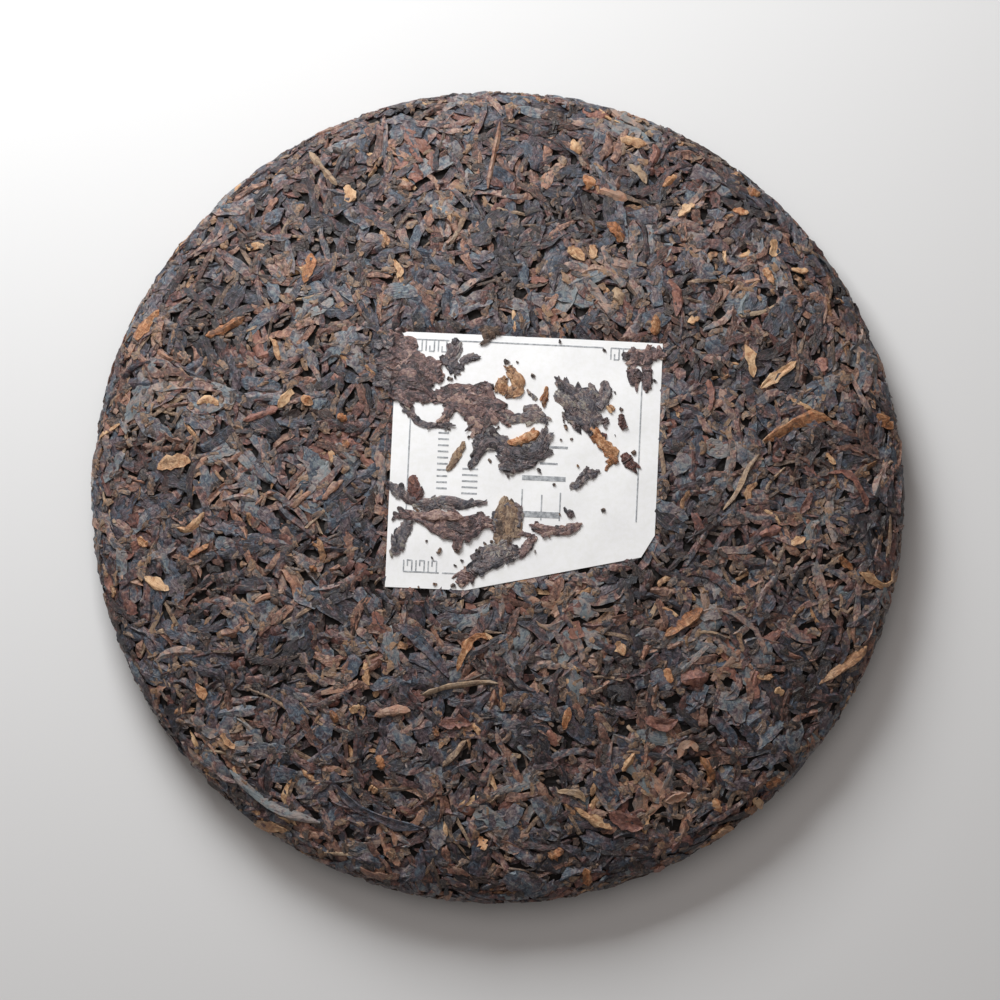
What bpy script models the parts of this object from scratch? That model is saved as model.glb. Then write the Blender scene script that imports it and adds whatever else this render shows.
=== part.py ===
"""Pressed ripe tea cake, a lens of compressed leaf 200 mm across, lying on its back.

A paper ticket is set in a shallow pocket of the domed front, with loose leaves pressed over it.
Metres, +Z up. The origin is under the middle of the cake, on the surface that it lies on.
"""

import math

import bmesh
import bpy
from mathutils import Matrix, Vector

# Driving sizes of the pressed cake
CAKE_RADIUS = 0.0999
CAKE_HEIGHT = 0.025
DOME_RADIUS = 0.089
DOME_SAG = 0.0085
DOME_POWER = 2.4
EQUATOR_HEIGHT = 0.0085
FOOT_OUTER_RADIUS = 0.074
FOOT_INNER_RADIUS = 0.027
DIMPLE_DEPTH = 0.009
LATHE_STEPS = 96

# Unevenness of the pressed leaf
LUMP_SIZE = 0.011
LUMP_HEIGHT = 0.0014
EDGE_FADE = 0.012

# Paper ticket, turned a little clockwise, with one corner folded under
TICKET_WIDTH = 0.065
TICKET_LENGTH = 0.0625
TICKET_CENTRE = Vector((0.0064, 0.0065))
TICKET_TURN = math.radians(-2.6)
TICKET_THICKNESS = 0.0002
FOLD_ON_FOOT_EDGE = -0.0130
FOLD_CORNER = Vector((0.0294, -0.0213))
FOLD_ON_SIDE_EDGE = -0.0158
POCKET_DEPTH = 0.0009
POCKET_MARGIN = 0.0005
SHEET_CELL = 0.006

# Clearance between pieces that touch
GAP = 0.0003

# Loose leaves on the ticket
LEAF_FLATNESS = 0.30
LEAF_SIDES_RESOLUTION = 2
LEAF_ROUTE_POINTS = 9
LEAF_TIP_SHARE = 0.45
LEAF_BELLY = -0.22

LEAVES = (
    # name, kind, width in mm, route over the cake in mm from its centre
    ("leaf_fork", "dark", 2.6, ((-10.3, 36.5), (-11.5, 31.5), (-9.6, 29.5), (-7.3, 30.9), (-5.2, 33.3))),
    ("leaf_corner_left", "brown", 6.4, ((-20.4, 28.7), (-18.1, 26.0), (-16.2, 24.0))),
    ("leaf_bent_strip", "dark", 1.3, ((-22.0, 21.0), (-19.5, 17.4), (-16.7, 16.2), (-12.5, 16.3))),
    ("leaf_broad", "brown", 7.6, ((-9.6, 23.8), (-6.4, 21.0), (-4.6, 17.3))),
    ("leaf_broad_tail", "dark", 2.4, ((0.5, 21.0), (4.1, 18.2), (8.0, 17.7), (11.8, 18.2))),
    ("leaf_curl", "tan", 2.6, ((2.7, 29.9), (5.7, 27.6), (3.3, 24.4), (-0.1, 25.0))),
    ("leaf_cluster_right", "dark", 7.4, ((17.3, 25.0), (20.5, 22.2), (22.5, 17.9))),
    ("leaf_tail_gold", "gold", 2.6, ((24.4, 14.1), (26.4, 11.1), (27.4, 8.7))),
    ("leaf_tail_dark", "dark", 2.4, ((29.2, 8.0), (31.9, 6.8), (33.3, 5.0))),
    ("leaf_arch", "dark", 3.8, ((-6.2, 6.5), (-3.6, 10.7), (2.3, 10.9), (8.4, 9.1), (11.2, 12.5))),
    ("leaf_bud", "tan", 1.9, ((-8.8, 10.9), (-10.4, 7.9), (-11.9, 5.3))),
    ("leaf_thin", "dark", 2.2, ((-24.2, 0.8), (-19.9, -2.3), (-11.9, -1.9), (-3.6, -2.7))),
    ("leaf_boat", "brown", 5.4, ((-18.1, -6.0), (-12.5, -7.8), (-8.2, -8.9), (-3.5, -8.3))),
    ("leaf_diagonal", "dark", 2.8, ((-22.0, -8.0), (-24.4, -14.1))),
    ("leaf_square", "brown", 5.6, ((1.9, -4.4), (2.1, -11.1))),
    ("leaf_branch", "brown", 2.4, ((7.4, -8.5), (13.6, -9.5), (20.1, -8.3))),
    ("leaf_foot", "dark", 4.4, ((-7.4, -20.4), (-2.7, -17.1), (4.3, -14.5))),
    ("leaf_small", "dark", 2.4, ((18.9, 0.7), (21.3, 3.3), (24.2, 4.0))),
    ("leaf_corner_right", "dark", 4.6, ((32.7, 32.4), (34.5, 29.0), (35.5, 25.6))),
)

LEAF_COLOURS = {
    "dark": (0.055, 0.050, 0.052),
    "brown": (0.110, 0.072, 0.055),
    "tan": (0.300, 0.190, 0.110),
    "gold": (0.420, 0.210, 0.075),
}


def clear_scene():
    """Removes the startup objects."""
    for obj in list(bpy.data.objects):
        bpy.data.objects.remove(obj)


def new_collection(name):
    """Adds a collection to the scene."""
    collection = bpy.data.collections.new(name)
    bpy.context.scene.collection.children.link(collection)
    return collection


def new_material(name, colour, roughness):
    """A Principled material of one colour; none of the pieces is metal."""
    material = bpy.data.materials.new(name)
    material.use_nodes = True
    shader = material.node_tree.nodes["Principled BSDF"]
    shader.inputs["Base Color"].default_value = (*colour, 1.0)
    shader.inputs["Roughness"].default_value = roughness
    shader.inputs["Metallic"].default_value = 0.0
    return material


def new_object(name, mesh, collection, parent, material=None):
    """Links a mesh into a collection under the cake's empty."""
    obj = bpy.data.objects.new(name, mesh)
    collection.objects.link(obj)
    obj.parent = parent
    if material:
        mesh.materials.append(material)
    return obj


def dome_height(x, y):
    """Height of the smooth front over a place on the cake."""
    share = min(math.hypot(x, y) / DOME_RADIUS, 1.0)
    return CAKE_HEIGHT - DOME_SAG * share**DOME_POWER


def bezier(start, start_handle, end_handle, end, count):
    """Points along a cubic curve, with both ends."""
    points = []
    for step in range(count + 1):
        t = step / count
        s = 1.0 - t
        points.append(
            s**3 * start + 3 * s * s * t * start_handle + 3 * s * t * t * end_handle + t**3 * end
        )
    return points


def cake_profile():
    """(radius, height) points from the front's middle round the rim to the middle of the back."""
    dome_steps, rim_steps, dimple_steps = 15, 5, 6
    dome = []
    for step in range(dome_steps):
        radius = DOME_RADIUS * step / dome_steps
        dome.append(Vector((radius, dome_height(radius, 0.0))))

    dome_end = Vector((DOME_RADIUS, CAKE_HEIGHT - DOME_SAG))
    slope = Vector((1.0, -DOME_SAG * DOME_POWER / DOME_RADIUS)).normalized()
    equator = Vector((CAKE_RADIUS, EQUATOR_HEIGHT))
    foot_outer = Vector((FOOT_OUTER_RADIUS, 0.0))
    shoulder_reach = (CAKE_RADIUS - DOME_RADIUS) * 0.6
    side_reach = (dome_end.y - EQUATOR_HEIGHT) * 0.6
    under_reach = (CAKE_RADIUS - FOOT_OUTER_RADIUS) * 0.62
    down, out = Vector((0.0, -1.0)), Vector((1.0, 0.0))
    upper_rim = bezier(
        dome_end, dome_end + slope * shoulder_reach, equator - down * side_reach, equator, rim_steps
    )
    lower_rim = bezier(
        equator, equator + down * EQUATOR_HEIGHT * 0.7, foot_outer + out * under_reach, foot_outer, rim_steps
    )

    dimple = []
    for step in range(dimple_steps + 1):
        share = 1.0 - step / dimple_steps
        rise = DIMPLE_DEPTH * (0.5 + 0.5 * math.cos(math.pi * share))
        dimple.append(Vector((FOOT_INNER_RADIUS * share, rise)))
    foot_middle = Vector(((FOOT_OUTER_RADIUS + FOOT_INNER_RADIUS) / 2, 0.0))
    return dome + upper_rim + lower_rim[1:] + [foot_middle] + dimple


def unevenness(radius, height):
    """Share of the lumps at a point of the profile: none on the flat foot that the cake lies on."""
    if height > EQUATOR_HEIGHT:
        return 1.0
    if radius > FOOT_OUTER_RADIUS:
        return min((radius - FOOT_OUTER_RADIUS) / EDGE_FADE, 1.0)
    return min(max(FOOT_INNER_RADIUS - radius, 0.0) / EDGE_FADE, 1.0)


def build_cake(collection, parent, pocket_cutter):
    """The turned lens of leaf, made lumpy, with the pocket for the ticket."""
    profile = cake_profile()
    mesh = bpy.data.meshes.new("cake")
    edges = [(i, i + 1) for i in range(len(profile) - 1)]
    mesh.from_pydata([(point.x, 0.0, point.y) for point in profile], edges, [])
    material = new_material("pressed tea leaf", (0.075, 0.055, 0.050), 0.8)
    cake = new_object("cake", mesh, collection, parent, material)

    lumpy = cake.vertex_groups.new(name="lumpy")
    for index, point in enumerate(profile):
        lumpy.add([index], unevenness(point.x, point.y), "REPLACE")

    lathe = cake.modifiers.new("lathe", "SCREW")
    lathe.steps = LATHE_STEPS
    lathe.render_steps = LATHE_STEPS
    lathe.use_merge_vertices = True
    lathe.merge_threshold = 0.00001
    lathe.use_smooth_shade = True

    lumps = bpy.data.textures.new("leaf lumps", "CLOUDS")
    lumps.noise_scale = LUMP_SIZE
    lumps.noise_depth = 1
    relief = cake.modifiers.new("leaf lumps", "DISPLACE")
    relief.texture = lumps
    relief.texture_coords = "LOCAL"
    relief.strength = LUMP_HEIGHT
    relief.mid_level = 0.5
    relief.vertex_group = lumpy.name

    pocket = cake.modifiers.new("ticket pocket", "BOOLEAN")
    pocket.operation = "DIFFERENCE"
    pocket.object = pocket_cutter
    return cake


def ticket_outline(margin):
    """The ticket's corners on the cake, grown outwards by a margin."""
    side = TICKET_WIDTH / 2 + margin
    end = TICKET_LENGTH / 2 + margin
    fold_start = Vector((FOLD_ON_FOOT_EDGE, -end))
    fold_corner = FOLD_CORNER + Vector((margin, -margin))
    fold_end = Vector((side, FOLD_ON_SIDE_EDGE - margin))
    corners = [Vector((side, end)), Vector((-side, end)), Vector((-side, -end))]
    corners += [fold_start, fold_corner, fold_end]
    turn = Matrix.Rotation(TICKET_TURN, 2)
    return [turn @ corner + TICKET_CENTRE for corner in corners]


def draped_sheet(name, outline, lift):
    """A face of this outline, cut into small cells that follow the dome at a height above it."""
    made = bmesh.new()
    made.faces.new([made.verts.new((corner.x, corner.y, 0.0)) for corner in outline])
    for axis in range(2):
        low = min(corner[axis] for corner in outline)
        high = max(corner[axis] for corner in outline)
        cuts = int((high - low) / SHEET_CELL)
        normal = Vector((float(axis == 0), float(axis == 1), 0.0))
        for cut in range(1, cuts + 1):
            place = normal * (low + (high - low) * cut / (cuts + 1))
            everything = made.verts[:] + made.edges[:] + made.faces[:]
            bmesh.ops.bisect_plane(made, geom=everything, plane_co=place, plane_no=normal, dist=1e-7)
    bmesh.ops.triangulate(made, faces=made.faces[:])
    for vertex in made.verts:
        vertex.co.z = dome_height(vertex.co.x, vertex.co.y) + lift
    bmesh.ops.recalc_face_normals(made, faces=made.faces[:])
    if sum(face.normal.z for face in made.faces) < 0:
        bmesh.ops.reverse_faces(made, faces=made.faces[:])
    mesh = bpy.data.meshes.new(name)
    made.to_mesh(mesh)
    made.free()
    return mesh


def thicken(obj, thickness):
    """Gives a sheet its thickness on its upper side."""
    wall = obj.modifiers.new("thickness", "SOLIDIFY")
    wall.thickness = thickness
    wall.offset = 1.0
    return obj


def build_pocket_cutter(collection, parent):
    """What presses the ticket's pocket into the cake."""
    above_the_cake = 0.006
    mesh = draped_sheet("ticket_pocket", ticket_outline(POCKET_MARGIN), -POCKET_DEPTH)
    cutter = thicken(new_object("ticket_pocket", mesh, collection, parent), above_the_cake)
    cutter.hide_render = True
    cutter.display_type = "WIRE"
    return cutter


def build_ticket(collection, parent):
    """The paper ticket on the pocket's floor."""
    material = new_material("ticket paper", (0.86, 0.86, 0.85), 0.85)
    mesh = draped_sheet("ticket", ticket_outline(0.0), GAP - POCKET_DEPTH)
    return thicken(new_object("ticket", mesh, collection, parent, material), TICKET_THICKNESS)


def smooth_route(route, count):
    """(place, share of the way) along one smooth curve through a leaf's route."""
    points = [Vector(point) * 0.001 for point in route]
    points = [2 * points[0] - points[1], *points, 2 * points[-1] - points[-2]]
    stretches = len(points) - 3
    places = []
    for step in range(count):
        share = step / (count - 1)
        stretch = min(int(share * stretches), stretches - 1)
        t = share * stretches - stretch
        a, b, c, d = points[stretch : stretch + 4]
        place = b * 2 + (c - a) * t + (a * 2 - b * 5 + c * 4 - d) * t**2 + (b * 3 - a - c * 3 + d) * t**3
        places.append((place / 2, share))
    return places


def leaf_mesh(name, width, route):
    """A flattened tube along the route, drawn in at its tips and laid over the ticket."""
    curve = bpy.data.curves.new(name, "CURVE")
    curve.dimensions = "3D"
    curve.bevel_depth = width / 2
    curve.bevel_resolution = LEAF_SIDES_RESOLUTION
    curve.use_fill_caps = True
    spline = curve.splines.new("POLY")
    spline.points.add(LEAF_ROUTE_POINTS - 1)
    for point, (place, share) in zip(spline.points, smooth_route(route, LEAF_ROUTE_POINTS)):
        point.co = (place.x, place.y, 0.0, 1.0)
        fullness = math.sin(math.pi * share) ** 0.5
        point.radius = LEAF_TIP_SHARE + (1 - LEAF_TIP_SHARE) * fullness
    guide = bpy.data.objects.new(name, curve)
    bpy.context.scene.collection.objects.link(guide)
    graph = bpy.context.evaluated_depsgraph_get()
    mesh = bpy.data.meshes.new_from_object(guide.evaluated_get(graph))
    bpy.data.objects.remove(guide)
    bpy.data.curves.remove(curve)

    made = bmesh.new()
    made.from_mesh(mesh)
    bmesh.ops.remove_doubles(made, verts=made.verts[:], dist=1e-6)
    half_height = width / 2 * LEAF_FLATNESS
    belly = width / 2 * LEAF_BELLY
    lift = 2 * GAP + TICKET_THICKNESS - POCKET_DEPTH
    for vertex in made.verts:
        rise = max(vertex.co.z, belly) * LEAF_FLATNESS + half_height * -LEAF_BELLY
        vertex.co.z = dome_height(vertex.co.x, vertex.co.y) + lift + rise
    bmesh.ops.recalc_face_normals(made, faces=made.faces[:])
    made.to_mesh(mesh)
    made.free()
    mesh.name = name
    return mesh


def build_leaves(collection, parent):
    """One solid for each leaf as large as a berry that lies on the ticket."""
    materials = {
        kind: new_material(f"{kind} tea leaf", colour, 0.7) for kind, colour in LEAF_COLOURS.items()
    }
    leaves = []
    for name, kind, width_mm, route in LEAVES:
        mesh = leaf_mesh(name, width_mm * 0.001, route)
        mesh.materials.clear()
        mesh.shade_smooth()
        leaves.append(new_object(name, mesh, collection, parent, materials[kind]))
    return leaves


def stand_at_origin(carrier, pieces):
    """Moves the empty so that the pieces' box stands on the origin with its middle."""
    bpy.context.view_layer.update()
    graph = bpy.context.evaluated_depsgraph_get()
    places = []
    for piece in pieces:
        evaluated = piece.evaluated_get(graph)
        places += [evaluated.matrix_world @ vertex.co for vertex in evaluated.data.vertices]
    low = Vector(min(place[axis] for place in places) for axis in range(3))
    high = Vector(max(place[axis] for place in places) for axis in range(3))
    carrier.location = (-(low.x + high.x) / 2, -(low.y + high.y) / 2, -low.z)


def main():
    """Builds the cake, its ticket and the leaves on it."""
    clear_scene()
    tea_cake = new_collection("tea_cake")
    cutters = new_collection("cutters")
    carrier = bpy.data.objects.new("tea_cake_origin", None)
    tea_cake.objects.link(carrier)
    pocket_cutter = build_pocket_cutter(cutters, carrier)
    pieces = [build_cake(tea_cake, carrier, pocket_cutter), build_ticket(tea_cake, carrier)]
    pieces += build_leaves(tea_cake, carrier)
    stand_at_origin(carrier, pieces)


main()
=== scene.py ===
"""Looks of a pressed ripe tea cake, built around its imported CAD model.

Thousands of separate leaf pieces are laid in layers over a smaller core, on the front, the rim and
the back, and then pressed level. A paper ticket lies in the front with larger leaves over it.
Metres, +Z up, the domed front uppermost. Sizes whose names end in _mm are in millimetres.
"""

from __future__ import annotations

import logging
import math
from dataclasses import dataclass, field
from enum import Enum

import bmesh
import bpy
import numpy as np
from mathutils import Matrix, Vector

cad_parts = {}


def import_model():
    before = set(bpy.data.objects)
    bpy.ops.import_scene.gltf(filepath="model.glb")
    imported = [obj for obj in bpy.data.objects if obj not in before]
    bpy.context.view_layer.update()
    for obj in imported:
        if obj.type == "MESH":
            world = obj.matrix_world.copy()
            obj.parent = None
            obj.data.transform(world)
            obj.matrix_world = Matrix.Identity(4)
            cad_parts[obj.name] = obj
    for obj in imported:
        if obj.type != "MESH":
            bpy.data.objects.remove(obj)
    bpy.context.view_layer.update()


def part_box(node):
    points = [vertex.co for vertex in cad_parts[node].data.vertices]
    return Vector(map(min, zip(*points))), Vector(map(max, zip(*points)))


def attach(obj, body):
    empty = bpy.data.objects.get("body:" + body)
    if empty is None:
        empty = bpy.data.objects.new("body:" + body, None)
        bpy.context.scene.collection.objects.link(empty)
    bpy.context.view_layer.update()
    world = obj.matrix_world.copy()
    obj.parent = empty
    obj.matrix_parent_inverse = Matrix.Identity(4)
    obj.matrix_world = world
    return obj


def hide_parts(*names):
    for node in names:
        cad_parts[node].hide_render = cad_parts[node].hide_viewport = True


LOG = logging.getLogger("tea_cake")
MM = 0.001
GOLDEN_ANGLE = math.pi * (3.0 - math.sqrt(5.0))

# Pressing makes the bed's heights level where they are smoothed over this width
LEVEL_WIDTH = 3.0 * MM
# Each leaf reads its own stretch of an endless pattern, somewhere in a square of this side
GRAIN_SPREAD_MM = 400.0
# Edges sharper than these are drawn as edges, and the rest are shaded smooth
LEAF_EDGE_ANGLE = math.radians(42.0)
PAPER_EDGE_ANGLE = math.radians(50.0)

Route = tuple[tuple[float, float, float], ...]


class Side(Enum):
    """The two faces of the cake. Each is mapped flat from its own middle, out over the rim."""

    FRONT = "front"
    BACK = "back"


class Slot(Enum):
    """Names for kinds of material, one of which each larger leaf carries."""

    PRESSED_TEA = "pressed_tea"
    PAPER = "ticket_paper"
    DARK = "dark_leaf"
    BROWN = "brown_leaf"
    TAN = "tan_leaf"
    GOLD = "gold_leaf"


# ---------------------------------------------------------------------------------------------
# Small tools
# ---------------------------------------------------------------------------------------------


def linear_colour(code: str) -> tuple[float, float, float, float]:
    """Turns an sRGB hex value into the linear colour that shaders take.

    Args:
        code: Six hex digits after a hash sign.

    Returns:
        Linear red, green, blue and an alpha of one.
    """
    shares = [int(code[i : i + 2], 16) / 255.0 for i in (1, 3, 5)]
    linear = [c / 12.92 if c <= 0.04045 else ((c + 0.055) / 1.055) ** 2.4 for c in shares]
    return (linear[0], linear[1], linear[2], 1.0)


def add_node(tree: bpy.types.NodeTree, kind: str, settings: dict[str, object] | None = None,
             inputs: dict[str | int, object] | None = None,
             stops: list[tuple[float, str]] | None = None) -> bpy.types.Node:
    """Adds a node to a tree with its settings and links.

    Args:
        tree: The material's node tree.
        kind: The node's type name.
        settings: Properties of the node itself.
        inputs: Socket names or numbers, each with a value or with the output it is linked to.
        stops: Places and hex colours, on a colour ramp.

    Returns:
        The new node.
    """
    node = tree.nodes.new(kind)
    for name, value in (settings or {}).items():
        setattr(node, name, value)
    for key, value in (inputs or {}).items():
        if isinstance(value, bpy.types.NodeSocket):
            tree.links.new(value, node.inputs[key])
        else:
            node.inputs[key].default_value = value
    if stops:
        ramp = node.color_ramp
        while len(ramp.elements) < len(stops):
            ramp.elements.new(1.0)
        for element, (place, code) in zip(ramp.elements, stops):
            element.position = place
            element.color = linear_colour(code)
    return node


def new_material(name: str) -> tuple[bpy.types.Material, bpy.types.Node]:
    """Makes an empty Principled material.

    Args:
        name: The material's name.

    Returns:
        The material and its shader node.
    """
    material = bpy.data.materials.new(name)
    material.use_nodes = True
    return material, material.node_tree.nodes["Principled BSDF"]


def link_piece(name: str, mesh: bpy.types.Mesh, material: bpy.types.Material) -> bpy.types.Object:
    """Puts a finished mesh into the scene as a piece of the cake.

    Args:
        name: The piece's name.
        mesh: Its mesh, in place.
        material: Its material.

    Returns:
        The piece, riding on the cake's only body.
    """
    mesh.materials.clear()
    mesh.materials.append(material)
    piece = bpy.data.objects.new(name, mesh)
    bpy.context.scene.collection.objects.link(piece)
    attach(piece, "root")
    LOG.info("%s: %d faces", name, len(mesh.polygons))
    return piece


@dataclass(frozen=True)
class Waves:
    """A smooth random field over the plane, as a sum of waves in random directions."""

    length_mm: float
    height_mm: float
    seed: int
    count: int = 28

    def heights(self, places: np.ndarray) -> np.ndarray:
        """Gives the field's value at each place.

        Args:
            places: (..., 2) places in metres.

        Returns:
            Heights in metres, of about the stated size either way.
        """
        rng = np.random.default_rng(self.seed)
        turns = rng.uniform(0.0, math.tau, self.count)
        pitch = 2 * math.pi / (self.length_mm * MM * rng.uniform(0.7, 1.7, self.count))
        phases = rng.uniform(0.0, math.tau, self.count)
        total = np.zeros(places.shape[:-1])
        for turn, step, phase in zip(turns, pitch, phases):
            way = places[..., 0] * math.cos(turn) + places[..., 1] * math.sin(turn)
            total += np.sin(way * step + phase)
        return total * self.height_mm * MM * math.sqrt(2.0 / self.count)


# ---------------------------------------------------------------------------------------------
# The cake's smooth skin
# ---------------------------------------------------------------------------------------------


@dataclass
class Skin:
    """The smooth surface of the cake, which every leaf is laid over."""

    radius: float
    height: float
    dome_radius: float = 0.089
    dome_sag: float = 0.0085
    dome_power: float = 2.4
    equator: float = 0.0085
    foot_outer: float = 0.074
    foot_inner: float = 0.027
    dimple: float = 0.009
    table: dict[str, np.ndarray] = field(init=False)

    def __post_init__(self) -> None:
        """Works out the profile's points, way and outward directions."""
        points = self.profile()
        steps = np.diff(points, axis=0)
        way = np.concatenate([[0.0], np.cumsum(np.hypot(steps[:, 0], steps[:, 1]))])
        tangent = np.gradient(points, way, axis=0)
        tangent /= np.linalg.norm(tangent, axis=1)[:, None]
        self.table = {"way": way, "r": points[:, 0], "z": points[:, 1],
                      "out_r": -tangent[:, 1], "out_z": tangent[:, 0]}
        self.table["out_r"][[0, -1]] = 0.0

    def dome(self, radius: np.ndarray) -> np.ndarray:
        """Height of the domed front at these distances from its middle."""
        return self.height - self.dome_sag * np.clip(radius / self.dome_radius, 0, 1) ** self.dome_power

    def profile(self) -> np.ndarray:
        """Gives the skin's profile.

        Returns:
            (count, 2) radii and heights from the front's middle to the middle of the back.
        """
        radii = np.linspace(0.0, self.dome_radius, 360)
        dome = np.stack([radii, self.dome(radii)], axis=1)
        slope = np.array([1.0, -self.dome_sag * self.dome_power / self.dome_radius])
        slope /= np.linalg.norm(slope)
        end, side = dome[-1], np.array([self.radius, self.equator])
        # The rim is two cubics, from the dome's edge to the equator and on to the flat ring
        foot = np.array([self.foot_outer, 0.0])
        shoulder = end + slope * (self.radius - self.dome_radius) * 0.6
        above = side + np.array([0.0, (end[1] - self.equator) * 0.6])
        below = side - np.array([0.0, self.equator * 0.7])
        under = foot + np.array([(self.radius - self.foot_outer) * 0.62, 0.0])
        share = np.linspace(0.0, 1.0, 121)[1:, None]

        def curve(a: np.ndarray, b: np.ndarray, c: np.ndarray, d: np.ndarray) -> np.ndarray:
            """A cubic from a to d, without its first point."""
            rest = 1.0 - share
            return rest**3 * a + 3 * rest**2 * share * b + 3 * rest * share**2 * c + share**3 * d

        ring = np.stack([np.linspace(self.foot_outer, self.foot_inner, 120)[1:], np.zeros(119)], axis=1)
        inner = np.linspace(1.0, 0.0, 121)[1:]
        rise = self.dimple * (0.5 + 0.5 * np.cos(np.pi * inner))
        hollow = np.stack([self.foot_inner * inner, rise], axis=1)
        upper, lower = curve(end, shoulder, above, side), curve(side, below, under, foot)
        return np.concatenate([dome, upper, lower, ring, hollow])

    def reach(self, side: Side) -> float:
        """Way over the surface from the middle of a side to the widest part of the rim."""
        widest = self.table["way"][int(np.argmax(self.table["r"]))]
        return float(widest if side is Side.FRONT else self.table["way"][-1] - widest)

    def from_above(self, places: np.ndarray) -> np.ndarray:
        """Turns places on the front, seen from above, into places in its flat map.

        Args:
            places: Places seen from above, metres from the axis.

        Returns:
            The same places in the flat map of the front.
        """
        widest = int(np.argmax(self.table["r"]))
        radius = np.maximum(np.hypot(places[..., 0], places[..., 1]), 1e-9)
        way = np.interp(radius, self.table["r"][:widest], self.table["way"][:widest])
        return places * (way / radius)[..., None]

    def lay(self, side: Side, flat: np.ndarray, lift: np.ndarray) -> np.ndarray:
        """Puts points of a side's flat map onto the cake.

        Args:
            side: The side that the map belongs to.
            flat: (..., 2) places in the map, whose distance from the middle is the way over the skin.
            lift: Heights outwards from the skin, of the same shape.

        Returns:
            (..., 3) places in the cake's frame.
        """
        way = np.hypot(flat[..., 0], flat[..., 1])
        turn = np.arctan2(flat[..., 1], flat[..., 0])
        known = self.table
        if side is Side.BACK:
            way = known["way"][-1] - way
            turn = -turn
        radius, height = (
            np.interp(way, known["way"], known[place]) + lift * np.interp(way, known["way"], known[out])
            for place, out in (("r", "out_r"), ("z", "out_z"))
        )
        return np.stack([radius * np.cos(turn), radius * np.sin(turn), height], axis=-1)


# ---------------------------------------------------------------------------------------------
# Leaf blanks and shapes
# ---------------------------------------------------------------------------------------------


@dataclass
class Blank:
    """A capped tube that every leaf piece is shaped from."""

    rings: int
    sides: int
    share: np.ndarray = field(init=False)
    across: np.ndarray = field(init=False)
    up: np.ndarray = field(init=False)
    ring: np.ndarray = field(init=False)
    corner: np.ndarray = field(init=False)
    faces: list[list[int]] = field(init=False)

    def __post_init__(self) -> None:
        """Cuts a capped tube into rings and notes where each of its points is."""
        made = bmesh.new()
        bmesh.ops.create_cone(made, cap_ends=True, segments=self.sides, radius1=1.0, radius2=1.0, depth=1.0)
        for cut in range(1, self.rings - 1):
            place = Vector((0.0, 0.0, cut / (self.rings - 1) - 0.5))
            everything = made.verts[:] + made.edges[:] + made.faces[:]
            bmesh.ops.bisect_plane(made, geom=everything, plane_co=place, plane_no=(0.0, 0.0, 1.0))
        bmesh.ops.recalc_face_normals(made, faces=made.faces[:])
        made.verts.index_update()
        co = np.array([vertex.co[:] for vertex in made.verts])
        self.faces = [[vertex.index for vertex in face.verts] for face in made.faces]
        made.free()
        turn = np.arctan2(co[:, 1], co[:, 0])
        self.share = co[:, 2]
        self.across = np.cos(turn)
        self.up = np.sin(turn)
        self.ring = np.rint((co[:, 2] + 0.5) * (self.rings - 1)).astype(int)
        self.corner = np.rint(turn / (2 * math.pi / self.sides) - 0.5).astype(int) % self.sides

    def lattice(self, values: np.ndarray) -> np.ndarray:
        """Sorts values of the points into rows by ring and corner.

        Args:
            values: (pieces, points) values.

        Returns:
            (pieces, rings, sides) values.
        """
        order = np.lexsort((self.corner, self.ring))
        return values[:, order].reshape(len(values), self.rings, self.sides)


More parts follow.
